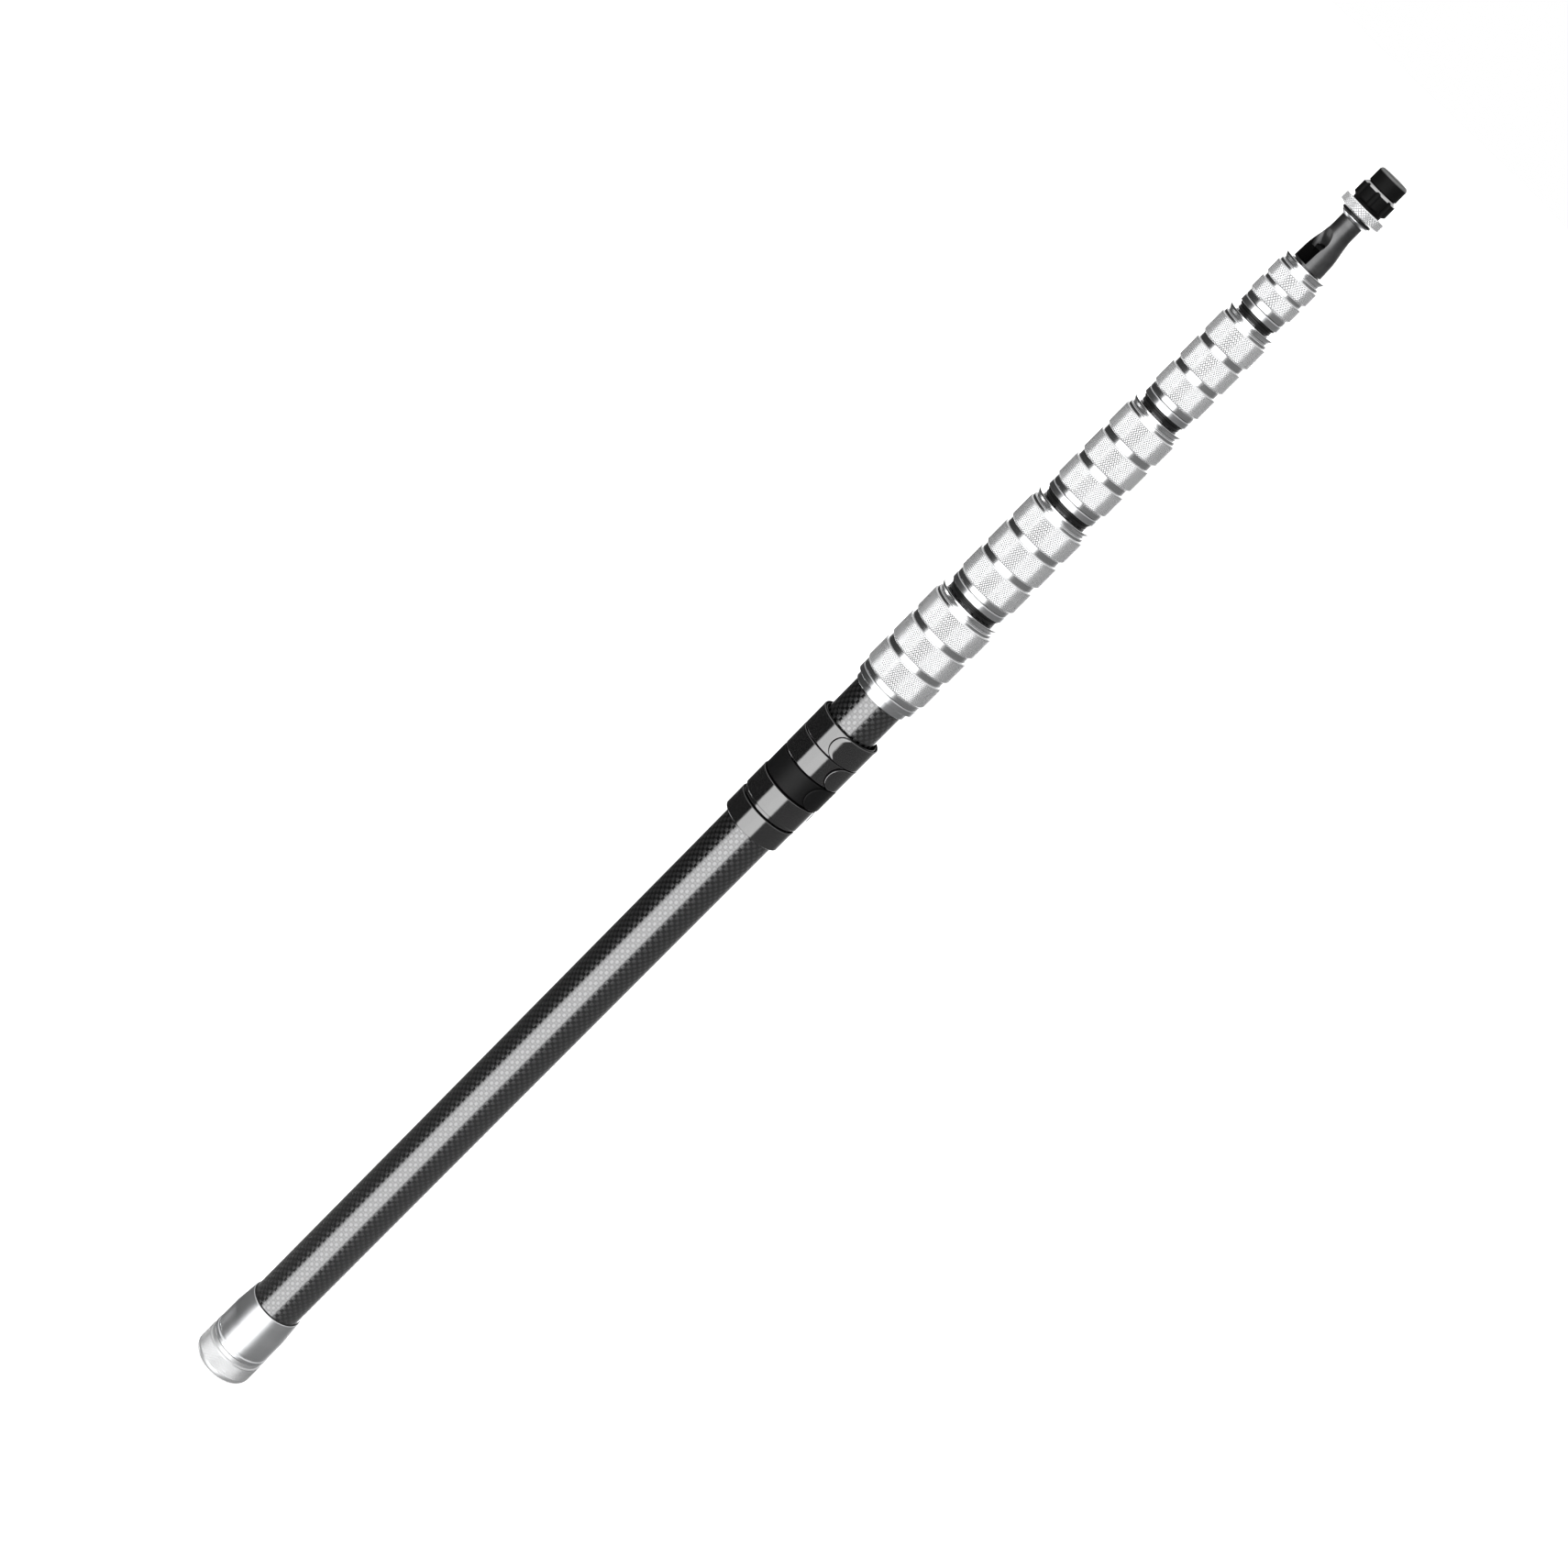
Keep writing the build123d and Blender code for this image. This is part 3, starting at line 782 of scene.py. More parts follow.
# ---------------------------------------------------------------- knurling
@dataclass(frozen=True)
class Knurl:
    """Diamond knurling: two sets of grooves that cross, with a flat left on each diamond."""

    pitch: float = 1.25
    lead_angle: float = 34.0
    depth: float = 0.22
    flat: float = 0.55
    fade: float = 0.35

    def diamonds_round(self, radius: float) -> int:
        """Whole number of diamonds that fit round a radius."""
        width = self.pitch / math.cos(math.radians(self.lead_angle))
        return round(FULL_TURN * radius / width)

    def columns(self, radius: float) -> int:
        """Grid columns round the pole: four to a diamond."""
        return 4 * self.diamonds_round(radius)

    def rows(self, foot: float, top: float) -> int:
        """Grid rows along a band: four to a diamond, and a whole even number of half diamonds."""
        length = self.pitch / math.sin(math.radians(self.lead_angle))
        return 4 * round((top - foot) / length)

    def cut(self, base: np.ndarray, columns: int) -> tuple[np.ndarray, np.ndarray]:
        """Cuts the grooves into a band's rows.

        On quarter-diamond steps i up the band and j round it, the grooves lie where (i+j)/2 or
        (i-j)/2 is even, so the distance to the nearest one is the smaller of the two triangle
        waves of those sums. The cut is depth * (1 - distance/flat), not below 0.

        Args:
            base: the band's rows as (radius, height) points.
            columns: number of columns, four to a diamond.

        Returns:
            How far in each grid point is cut, and whether each cell's groove rises to the right.
        """
        row, column = np.meshgrid(np.arange(len(base)), np.arange(columns), indexing="ij")
        rising = np.abs((row - column + 2) % 4 - 2) / 2
        falling = np.abs((row + column + 2) % 4 - 2) / 2
        distance = np.minimum(rising, falling)
        height = base[:, 1]
        edge = np.minimum(height - height[0], height[-1] - height)[:, None]
        taper = np.clip(edge / self.fade, 0, 1)
        cut = self.depth * np.clip(1 - distance / self.flat, 0, 1) * taper
        rises = ((row // 2 + column // 2) % 2 == 0)[:-1]
        return cut, rises


@dataclass
class KnurledTurning:
    """A turned piece with knurled bands on its outside.

    The outline is a list of stretches from the foot up the outside and back down the inside. A
    plain stretch is a list of points. A band is the rows that the knurl cuts.
    """

    knurl: Knurl
    columns: int
    stretches: list[tuple[np.ndarray, bool]] = field(default_factory=list)

    def plain(self, points: Outline, edge: float = 0.25) -> None:
        """Adds a plain stretch, with its corners rounded by an edge in millimetres."""
        rows = rounded(points, edge, closed=False) if len(points) > 2 else np.asarray(points, float)
        self.stretches.append((rows, False))

    def band(self, foot: float, top: float, line: Callable[[np.ndarray], np.ndarray]) -> None:
        """Adds a knurled band.

        Args:
            foot: its lower height.
            top: its upper height.
            line: gives the radius of the uncut surface at an array of heights.
        """
        height = np.linspace(foot, top, self.knurl.rows(foot, top) + 1)
        self.stretches.append((np.stack([line(height), height], axis=1), True))

    def surface(self) -> Surface:
        """Joins the stretches into one closed surface, with each groove along a cell's diagonal.

        Returns:
            The surface, with the attributes "knurled", which is 1 on the bands, and "groove", which
            is 1 at the grooves' floors.
        """
        outline = np.concatenate([rows for rows, _ in self.stretches])
        count = len(outline)
        cut = np.zeros((count, self.columns))
        split = np.zeros((count, self.columns), bool)
        rises = np.zeros((count, self.columns), bool)
        start = 0
        for rows, knurled in self.stretches:
            if knurled:
                end = start + len(rows)
                cut[start:end], rises[start:end - 1] = self.knurl.cut(rows, self.columns)
                split[start:end - 1] = True
            start += len(rows)
        turn = np.arange(self.columns) * FULL_TURN / self.columns
        radius = outline[:, :1] - cut
        height = np.broadcast_to(outline[:, 1:], radius.shape)
        points = np.stack([radius * np.cos(turn), radius * np.sin(turn), height], axis=-1) * MM
        quads = grid_quads(count, self.columns, True)
        split, rises = split.ravel(), rises.ravel()
        rising, falling = quads[split & rises], quads[split & ~rises]
        triangles = np.concatenate([
            rising[:, [0, 1, 2]], rising[:, [0, 2, 3]], falling[:, [0, 1, 3]], falling[:, [1, 2, 3]],
        ])
        in_band = np.concatenate([np.full(len(rows), float(knurled)) for rows, knurled in self.stretches])
        attributes = {
            "knurled": np.repeat(in_band, self.columns),
            "groove": cut.ravel() / self.knurl.depth,
        }
        return Surface(points.reshape(-1, 3), quads[~split], triangles, attributes)


# ---------------------------------------------------------------- how pieces join the frame
def fit_piece(piece: bpy.types.Object, body: str, node: str) -> None:
    """Puts a finished piece in the place of a CAD node.

    Args:
        piece: the new piece.
        body: the body that it rides on.
        node: the CAD node that it stands for.
    """
    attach(piece, body)
    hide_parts(node)
    LOG.info("%s: %d faces, rides on %s, stands for %s", piece.name, len(piece.data.polygons), body, node)


def dress_node(node: str, material: bpy.types.Material) -> None:
    """Gives a CAD node that stays a finish of its own.

    Args:
        node: name of the CAD node.
        material: its finish.
    """
    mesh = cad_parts[node].data
    mesh.materials.clear()
    mesh.materials.append(material)
    LOG.info("%s: CAD node dressed in %s", node, material.name)


@dataclass(frozen=True)
class Paints:
    """The finishes that several sub-assemblies share."""

    aluminium: bpy.types.Material
    knurled: bpy.types.Material
    rubber: bpy.types.Material
    nylon: bpy.types.Material
    casting: bpy.types.Material
    anodised_black: bpy.types.Material
    steel: bpy.types.Material

    @classmethod
    def mix(cls) -> "Paints":
        """Makes them all.

        Returns:
            The finishes.
        """
        return cls(
            aluminium=TurnedAluminium().make(),
            knurled=KnurledAluminium().make(),
            rubber=BlackSurface("black_rubber", roughness=0.22).make(),
            nylon=BlackSurface("black_nylon", roughness=0.42).make(),
            casting=CastMetal().make(),
            anodised_black=BlackSurface(
                "tip_black", roughness=0.48, shade_low=0.002, shade_high=0.005, specular=0.06
            ).make(),
            steel=ThreadedSteel().make(),
        )


# ---------------------------------------------------------------- sections
@dataclass
class Section:
    """One telescoping section: its carbon tube and, inside, its guide bush."""

    number: int
    wall: float = 1.0
    edge: float = 0.2
    strap_margin: float = 3.0

    def build(self, paints: Paints) -> None:
        """Turns the tube and dresses the bush on its foot.

        Args:
            paints: the shared finishes.
        """
        size = Extent.of(f"tube_{self.number}")
        inner = size.radius - self.wall
        outline = [(size.radius, size.foot), (size.radius, size.top), (inner, size.top), (inner, size.foot)]
        weave = CarbonWeave(f"carbon_{self.number}", size.radius, strap_shade_span=self.strap_shade_span()).make()
        surface = turned(rounded(outline, self.edge, steps=2), columns=160)
        piece = surface.to_object(f"carbon_tube_{self.number}", weave)
        fit_piece(piece, section_body(self.number), f"tube_{self.number}")
        if self.number > 1:
            dress_node(f"guide_bush_{self.number}", paints.nylon)

    def strap_shade_span(self) -> tuple[float, float] | None:
        """Heights between which the straps cover this tube and painted shade blackens it, or None.

        Returns:
            The lower and the upper height in millimetres.
        """
        if self.number > 1:
            return None
        first, last = Extent.of("cable_strap_1"), Extent.of(f"cable_strap_{len(STRAPS)}")
        return first.foot + self.strap_margin, last.top - self.strap_margin


# ---------------------------------------------------------------- twist locks
@dataclass
class TwistLock:
    """A section's lock: ferrule, knurled nut, collet and, on a moving section, its bumper.

    Lengths are in millimetres. waist is the nut's outline above its last band, as pairs: how far
    out from the grip's radius, and how far above the band.
    """

    number: int
    bands: int
    groove: float
    shoulder: float = 4.3
    nut_gap: float = 0.3
    skirt: float = 3.6
    skirt_inset: float = 1.05
    lip: float = 6.4
    foot_chamfer: float = 1.1
    top_chamfer: float = 0.5
    groove_depth: float = 1.3
    band_edge: float = 0.2
    waist: Outline = ((-0.9, 0.1), (-1.0, 1.9), (-2.1, 2.5), (-2.1, 2.9), (-0.9, 5.1), (-0.7, 5.5))
    glue: float = 0.05
    neck_standoff: float = 2.1
    thread_standoff: float = 2.25
    counterbore_standoff: float = 0.7
    counterbore_depth: float = 3.0
    collar_standoff: float = 1.1
    least_collar: float = 1.0
    cone_standoff: float = 1.85
    mouth_gap: float = 0.5
    mouth_depth: float = 3.4
    knurl: Knurl = Knurl()

    @property
    def body(self) -> str:
        """The body of the section that carries the lock."""
        return section_body(self.number)

    def build(self, paints: Paints) -> None:
        """Builds the lock's pieces from the foot up.

        Args:
            paints: the shared finishes.
        """
        self.build_ferrule(paints)
        self.build_nut(paints)
        dress_node(f"collet_{self.number}", paints.nylon)
        if self.number > 1:
            self.build_bumper(paints)

    def build_ferrule(self, paints: Paints) -> None:
        """Turns the ferrule: a plain shoulder under the nut, and its neck inside it.

        Args:
            paints: the shared finishes.
        """
        node = f"ferrule_{self.number}"
        size = Extent.of(node)
        tube = tube_radius(self.number)
        seat, neck = tube + self.glue, tube + self.neck_standoff
        counterbore, collar = tube + self.counterbore_standoff, seat + self.collar_standoff
        shoulder_top = Extent.of(f"lock_nut_{self.number}").foot - self.nut_gap
        shoulder_foot = shoulder_top - self.shoulder
        seat_top = size.top - self.counterbore_depth
        outline = [
            (size.radius, shoulder_foot), (size.radius, shoulder_top - 0.55),
            (size.radius - 0.5, shoulder_top), (neck, shoulder_top), (neck, size.top),
            (counterbore, size.top), (counterbore, seat_top), (seat, seat_top - 0.2),
        ]
        if shoulder_foot - size.foot > self.least_collar:
            outline += [(seat, size.foot), (collar, size.foot), (collar, shoulder_foot)]
        else:
            outline.append((seat, shoulder_foot))
        piece = turned(rounded(outline, 0.35)).to_object(f"{node}_turned", paints.aluminium)
        fit_piece(piece, self.body, node)

    def build_nut(self, paints: Paints) -> None:
        """Turns the nut: plain skirt, knurled bands with a chamfer at each end, waist and flared rim.

        A band's uncut surface is the grip's radius, less whatever the height is short of the end
        of the foot chamfer, so the knurl runs down over that chamfer.

        Args:
            paints: the shared finishes.
        """
        node = f"lock_nut_{self.number}"
        size = Extent.of(node)
        tube, inner = tube_radius(self.number), tube_radius(self.number + 1)
        grip, neck_top = size.radius, Extent.of(f"ferrule_{self.number}").top
        floor, skirt, thread = grip - self.groove_depth, grip - self.skirt_inset, tube + self.thread_standoff
        grooves = (self.bands - 1) * self.groove
        length = (size.top - size.foot - self.skirt - self.lip - grooves) / self.bands
        work = KnurledTurning(self.knurl, self.knurl.columns(grip))
        start = size.foot + self.skirt
        below = [(thread, size.foot), (skirt, size.foot), (skirt, start - 0.45), (floor, start - 0.35)]
        for _ in range(self.bands):
            knee, crown, top = start + self.foot_chamfer, start + length - self.top_chamfer, start + length
            work.plain([*below, (floor, start - 0.05), (grip - self.foot_chamfer, start)], self.band_edge)
            work.band(start, crown, lambda height, knee=knee: grip - np.clip(knee - height, 0, None))
            shoulder = [(grip, crown), (grip - self.top_chamfer, top)]
            below = [*shoulder, (floor, top + 0.1)]
            start = top + self.groove
        waist = [(grip + out, top + up) for out, up in self.waist]
        mouth, mouth_foot = inner + self.mouth_gap, size.top - self.mouth_depth
        work.plain([
            *shoulder, *waist, (waist[-1][0], size.top), (mouth, size.top), (mouth, mouth_foot),
            (mouth + 0.9, mouth_foot), (tube + self.cone_standoff, neck_top + 1.0),
            (thread, neck_top + 0.8), (thread, size.foot + 0.1),
        ], 0.3)
        piece = work.surface().to_object(f"{node}_knurled", paints.knurled, crease=24.0)
        fit_piece(piece, f"nut_{self.number}", node)

    def build_bumper(self, paints: Paints) -> None:
        """Turns the black ring under the ferrule: a grooved lower step and a wider upper one.

        Args:
            paints: the shared finishes.
        """
        node = f"bumper_{self.number}"
        size = Extent.of(node)
        bore, step = tube_radius(self.number) + self.glue, size.foot + 0.55 * (size.top - size.foot)
        lower, foot = bore + 1.6, size.foot
        outline = [
            (bore, foot), (lower, foot), (lower, foot + 0.9), (lower - 0.25, foot + 1.1),
            (lower - 0.25, foot + 1.3), (lower, foot + 1.5), (lower, step - 0.2), (lower - 0.35, step),
            (lower - 0.35, step + 0.25), (size.radius, step + 0.5), (size.radius, size.top),
            (bore, size.top),
        ]
        piece = turned(rounded(outline, 0.2)).to_object(f"{node}_ring", paints.rubber)
        fit_piece(piece, self.body, node)


# ---------------------------------------------------------------- foot
@dataclass
class Foot:
    """The pole's foot: knurled screw cap, its gasket and pad, and the sleeve on the outer tube."""

    corner: float = 4.5
    grip_top: float = 17.0
    cap_top: float = 20.2
    plug: float = 16.0
    hollow: float = 13.0
    floor: float = 4.0
    plug_gap: float = 0.15
    taper_foot: float = 42.0
    sleeve_end: float = 19.0
    socket_floor: float = 32.95
    knurl: Knurl = Knurl(pitch=0.9, depth=0.14, fade=0.6)

    def build(self, paints: Paints) -> None:
        """Builds the foot's pieces.

        Args:
            paints: the shared finishes.
        """
        matt = TurnedAluminium(
            "foot_cap_aluminium", dark=(0.50, 0.503, 0.507), light=(0.56, 0.563, 0.567),
            roughness=0.45, metallic=0.85,
        )
        self.build_cap(matt.make())
        self.build_seal(paints)
        self.build_sleeve(TurnedAluminium("foot_aluminium", roughness=0.36).make())
        self.build_bead(paints)
        dress_node("foot_pad", paints.rubber)

    def build_cap(self, finish: bpy.types.Material) -> None:
        """Turns the cap: a quarter ellipse at the bottom edge, then a fine knurl up to a plain neck.

        Args:
            finish: the cap's finish.
        """
        size = Extent.of("foot_cap")
        swing = np.linspace(0, math.pi / 2, 13)
        flat = size.radius - self.corner
        edge = np.stack([flat + self.corner * np.sin(swing), self.corner * (1 - np.cos(swing))], axis=1)
        work = KnurledTurning(self.knurl, self.knurl.columns(size.radius))
        underside = np.array([(0.0, size.foot), (0.5 * flat, size.foot), (0.97 * flat, size.foot)])
        work.stretches += [(underside, False), (edge, False)]
        crown = self.grip_top - 0.5
        work.band(self.corner + 0.05, crown, lambda height: np.full_like(height, size.radius))
        work.plain([
            (size.radius, crown), (size.radius - 0.5, self.grip_top),
            (size.radius - 1.1, self.grip_top + 0.2), (size.radius - 1.1, self.cap_top),
            (self.plug, self.cap_top), (self.plug, size.top), (self.hollow, size.top),
            (self.hollow, self.floor), (0.0, self.floor),
        ], 0.3)
        piece = work.surface().to_object("foot_cap_knurled", finish, crease=24.0, weld=True)
        fit_piece(piece, "foot_cap", "foot_cap")

    def build_seal(self, paints: Paints) -> None:
        """Turns the flat gasket between the cap and the sleeve.

        Args:
            paints: the shared finishes.
        """
        size = Extent.of("foot_cap_seal")
        bore = self.plug + 0.1
        outline = [(bore, size.foot), (size.radius, size.foot), (size.radius, size.top), (bore, size.top)]
        piece = turned(rounded(outline, 0.15)).to_object("foot_cap_gasket", paints.rubber)
        fit_piece(piece, "foot_cap", "foot_cap_seal")

    def build_sleeve(self, finish: bpy.types.Material) -> None:
        """Turns the sleeve: a rim above the gasket, a fine groove, and a long taper to the tube.

        Args:
            finish: the sleeve's finish.
        """
        size = Extent.of("foot_sleeve")
        tube, bore = tube_radius(1) + 0.05, self.plug + self.plug_gap
        rim, foot = size.radius, size.foot
        outline = [
            (bore, foot), (rim - 0.4, foot), (rim, foot + 0.4), (rim, foot + 2.8), (rim - 0.4, foot + 3.2),
            (rim - 0.8, foot + 3.4), (rim - 0.8, foot + 4.6), (rim - 0.4, foot + 4.8),
            (rim - 0.3, foot + 5.4), (rim - 0.4, self.taper_foot), (self.sleeve_end, size.top - 0.3),
            (self.sleeve_end - 0.4, size.top), (tube, size.top), (tube, self.socket_floor),
            (bore, self.socket_floor),
        ]
        piece = turned(rounded(outline, 0.3)).to_object("foot_sleeve_turned", finish)
        fit_piece(piece, "outer", "foot_sleeve")

    def build_bead(self, paints: Paints) -> None:
        """Turns a thin ring of black rubber where the sleeve ends on the tube.

        Args:
            paints: the shared finishes.
        """
        top, tube = Extent.of("foot_sleeve").top, tube_radius(1) + 0.02
        wide, foot = tube + 0.62, top - 0.2
        outline = [(tube, foot), (wide, foot), (wide, top + 0.35), (tube, top + 0.75)]
        bead = turned(rounded(outline, 0.15)).to_object("foot_sleeve_bead", paints.rubber)
        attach(bead, "outer")
        LOG.info("%s: %d faces, rides on outer", bead.name, len(bead.data.polygons))


# ---------------------------------------------------------------- cable straps
@dataclass
class CableStrap:
    """A flat strap wound on the outer tube, with a round tongue at its outer end.

    Lengths are in millimetres. trims are cut from the CAD ring's lower and upper edges. The inner
    turns sit inner_shift higher than the outer ones, tilt leans the strap towards the front, and
    curl lifts the tongue's tip. The edges round over from edge_round in, and the tongue's from
    tip_round in.
    """

    number: int
    side: StrapSide
    tongue_bearing: float
    turns: float = 1.9
    trims: tuple[float, float] = (0.0, 0.0)
    inner_shift: float = 0.0
    tilt: float = 0.0
    curl: float = 0.1
    front_bearing: float = 47.0
    thickness: float = 1.3
    gap: float = 0.12
    edge_round: float = 0.7
    tip_round: float = 0.7
    curled_turn: float = 0.1
    cut_depth: float = 0.3
    steps: int = 240
    tip_steps: int = 20
    across_steps: int = 33

    def surface(self, low: float, high: float, bore: float) -> Surface:
        """Winds the strap.

        With n the turns wound, its underside's radius is bore + (thickness + gap) n, plus curl times
        the square of the share of the last tenth of a turn. Over the tongue, t runs from 0 to 1 to
        the tip and the half width is times the root of 1 - t^2. With d the distance in from the
        outline, the thickness is times the root of 1 - (1 - d/round)^2, so the edges are round.

        Args:
            low: height of the strap's lower edge.
            high: height of its upper edge.
            bore: radius that it is wound on.

        Returns:
            The closed surface, with the attribute "edge", which is 1 on the cut edges, where painted shade
            blackens them.
        """
        half, step = (high - low) / 2, self.thickness + self.gap
        tongue = half / ((bore + self.turns * step) * FULL_TURN)
        tip = self.turns - tongue * (1 - np.sin(np.linspace(0, math.pi / 2, self.tip_steps)))
        turn = np.concatenate([np.linspace(0, self.turns - tongue, self.steps)[:-1], tip])[:, None]
        share = np.clip((turn - self.turns + tongue) / tongue, 0, 0.9998)
        bearing = math.radians(self.tongue_bearing) + (self.turns - turn) * FULL_TURN
        lift = np.clip(1 - (self.turns - turn) / self.curled_turn, 0, 1) ** 2
        under = bore + step * turn + self.curl * lift
        spread = np.sin(np.linspace(-math.pi / 2, math.pi / 2, self.across_steps))
        across = half * np.sqrt(1 - share ** 2) * spread
        inset = half - np.hypot(share * half, across)
        edge_round = self.edge_round + (self.tip_round - self.edge_round) * np.clip(3 * share, 0, 1)
        over = under + self.thickness * np.sqrt(1 - (1 - np.clip(inset / edge_round, 0, 1)) ** 2)
        inner = np.clip((self.turns - 0.85 - turn) / 0.15, 0, 1)
        lean = self.tilt * np.cos(bearing - math.radians(self.front_bearing))
        middle = (low + high) / 2 + self.inner_shift * inner + lean
        radius = np.concatenate([over, np.broadcast_to(under, over[:, 1:-1].shape)], axis=1)
        height = middle + np.concatenate([across, across[:, -2:0:-1]], axis=1)
        points = np.stack([radius * np.sin(bearing), -radius * np.cos(bearing), height], axis=-1)
        rows, count = radius.shape
        first, last = np.arange(count), (rows - 1) * count + np.arange(count)
        caps = [
            np.stack([np.full(count - 2, ring[0]), ring[1:-1], ring[2:]], axis=1)
            for ring in (first, last[::-1])
        ]
        edge = np.clip(1.3 - inset / self.cut_depth, 0, 1)
        edge = np.concatenate([edge, np.ones_like(over[:, 1:-1])], axis=1).ravel()
        quads = grid_quads(rows, count, False)
        return Surface(points.reshape(-1, 3) * MM, quads, np.concatenate(caps), {"edge": edge})

    def build(self) -> None:
        """Winds the strap in its CAD ring's place."""
        node = f"cable_strap_{self.number}"
        size = Extent.of(node)
        bore = tube_radius(1) + 0.06
        finish = StrapWeb(f"strap_web_{self.number}", size.radius, self.side).make()
        wound = self.surface(size.foot + self.trims[0], size.top - self.trims[1], bore)
        piece = wound.to_object(f"{node}_wound", finish, crease=60.0)
        recalculate_normals(piece.data)
        fit_piece(piece, "outer", node)


# ---------------------------------------------------------------- head
@dataclass
class Head:
    """The dark head on the last tube: tapered neck, cable window, and what screws on its stud."""

    base_radius: float = 10.2
    waist_radius: float = 9.9
    waist: float = 7.0
    neck_radius: float = 7.25
    neck: float = 27.5
    spigot: float = 25.0
    bore: float = 5.8
    bore_top: float = 13.0
    window_half: float = 6.2
    window_foot: float = 1.0
    ramp_foot: float = 9.6
    ramp_top: float = 24.3
    ramp_reach: float = 7.75
    ramp_round: float = 3.6
    reach: float = 16.0
    window_near: float = 0.6
    tube_gap: float = 0.05
    stud_bore: float = 4.8
    stud_floor: float = 26.0
    drill_point: float = 16.5
    edge: float = 0.35

    @property
    def ramp_slope(self) -> float:
        """Rise of the window's ramp for each millimetre outwards."""
        steepness = (self.ramp_top - self.ramp_foot) / self.ramp_reach
        return steepness * self.reach / (self.reach + self.window_near)

    def build(self, paints: Paints) -> None:
        """Builds the head and the washer, and dresses the stud.

        Args:
            paints: the shared finishes.
        """
        size = Extent.of("head")
        base = size.foot + self.spigot
        blank = turned(self.outline(base, size.top), columns=256)
        body = blank.to_object("head_cast", paints.casting, weld=True)
        cutter = self.window(base).to_object("window_cutter", paints.casting)
        recalculate_normals(cutter.data)
        cut = body.modifiers.new("window", "BOOLEAN")
        cut.object, cut.operation, cut.solver = cutter, "DIFFERENCE", "EXACT"
        soften = body.modifiers.new("broken_edge", "BEVEL")
        soften.width, soften.segments, soften.limit_method = self.edge * MM, 3, "ANGLE"
        soften.angle_limit = math.radians(38)
        soften.use_clamp_overlap = True
        apply_modifiers(body)
        bpy.data.objects.remove(cutter)
        body.data.shade_smooth()
        body.data.set_sharp_from_angle(angle=math.radians(30))
        fit_piece(body, "section_6", "head")
        dress_node("stud", paints.steel)
        self.build_washer(paints)

    def outline(self, base: float, top: float) -> np.ndarray:
        """The head's outline.

        Its flank is the cubic that leaves the waist and meets the neck upright: with t from 0 to 1,
        the radius is waist + (neck - waist)(3t^2 - 2t^3) and the height runs evenly.

        Args:
            base: height of the shoulder that stands on the tube.
            top: height of the neck's end.

        Returns:
            The closed outline.
        """
        share = np.linspace(0, 1, 25)
        flank = np.stack([
            self.waist_radius + (self.neck_radius - self.waist_radius) * (3 * share ** 2 - 2 * share ** 3),
            base + self.waist + (self.neck - self.waist) * share,
        ], axis=1)
        spigot = tube_radius(SECTIONS) - Section.wall - self.tube_gap
        outside = rounded([(spigot, base), (self.base_radius, base), tuple(flank[0])], 0.3, closed=False)
        floor, foot = base + self.stud_floor, base - self.spigot
        inside = rounded([
            tuple(flank[-1]), (self.neck_radius, top), (self.stud_bore, top), (self.stud_bore, floor),
            (0.0, floor),
        ], 0.25, closed=False)
        well = np.array([
            (0.0, base + self.drill_point), (self.bore, base + self.bore_top), (self.bore, foot),
            (spigot, foot),
        ])
        return np.concatenate([outside[:-1], flank[:-1], inside, well])

    def window(self, base: float) -> Surface:
        """The cutter of the cable window, which opens towards -Y.

        At each x the cut's roof is the ramp's line, lowered where x nears the sides by a round of
        radius R: R - sqrt(R^2 - (|x| - (half - R))^2), measured square to the ramp.

        Args:
            base: height of the head's shoulder.

        Returns:
            A closed prism along X whose roof has round edges.
        """
        x = self.window_half * np.sin(np.linspace(-math.pi / 2, math.pi / 2, 49))
        past = np.clip(np.abs(x) - (self.window_half - self.ramp_round), 0, self.ramp_round)
        drop = self.ramp_round - np.sqrt(self.ramp_round ** 2 - past ** 2)
        lower = drop * math.hypot(1, self.ramp_slope)
        foot = base + self.window_foot
        roof_in = np.maximum(base + self.ramp_foot - lower, foot + 0.4)
        roof_out = base + self.ramp_foot + self.ramp_slope * (self.reach + self.window_near) - lower
        far, near, level = (np.full_like(x, value) for value in (-self.reach, self.window_near, foot))
        corners = [(near, level), (near, roof_in), (far, roof_out), (far, level)]
        points = np.stack([np.stack([x, y, z], axis=1) for y, z in corners], axis=1) * MM
        quads = grid_quads(len(x), 4, False)
        ends = np.array([np.arange(4), len(x) * 4 - 1 - np.arange(4)])
        return Surface(points.reshape(-1, 3), np.concatenate([quads, ends]))

    def build_washer(self, paints: Paints) -> None:
        """Turns the flared silver washer on the neck's end.

        Args:
            paints: the shared finishes.
        """
        size = Extent.of("cone_washer")
        outline = [
            (Tip.stud, size.foot), (self.neck_radius, size.foot), (self.neck_radius + 0.7, size.top - 1.6),
            (size.radius, size.top - 0.4), (size.radius, size.top), (Tip.stud, size.top),
        ]
        piece = turned(rounded(outline, 0.25)).to_object("cone_washer_turned", paints.aluminium)
        fit_piece(piece, "section_6", "cone_washer")


def apply_modifiers(piece: bpy.types.Object) -> None:
    """Replaces a piece's mesh by what its modifiers make of it.

    Args:
        piece: the piece, which keeps no modifier.
    """
    graph = bpy.context.evaluated_depsgraph_get()
    done = bpy.data.meshes.new_from_object(piece.evaluated_get(graph))
    piece.modifiers.clear()
    piece.data = done


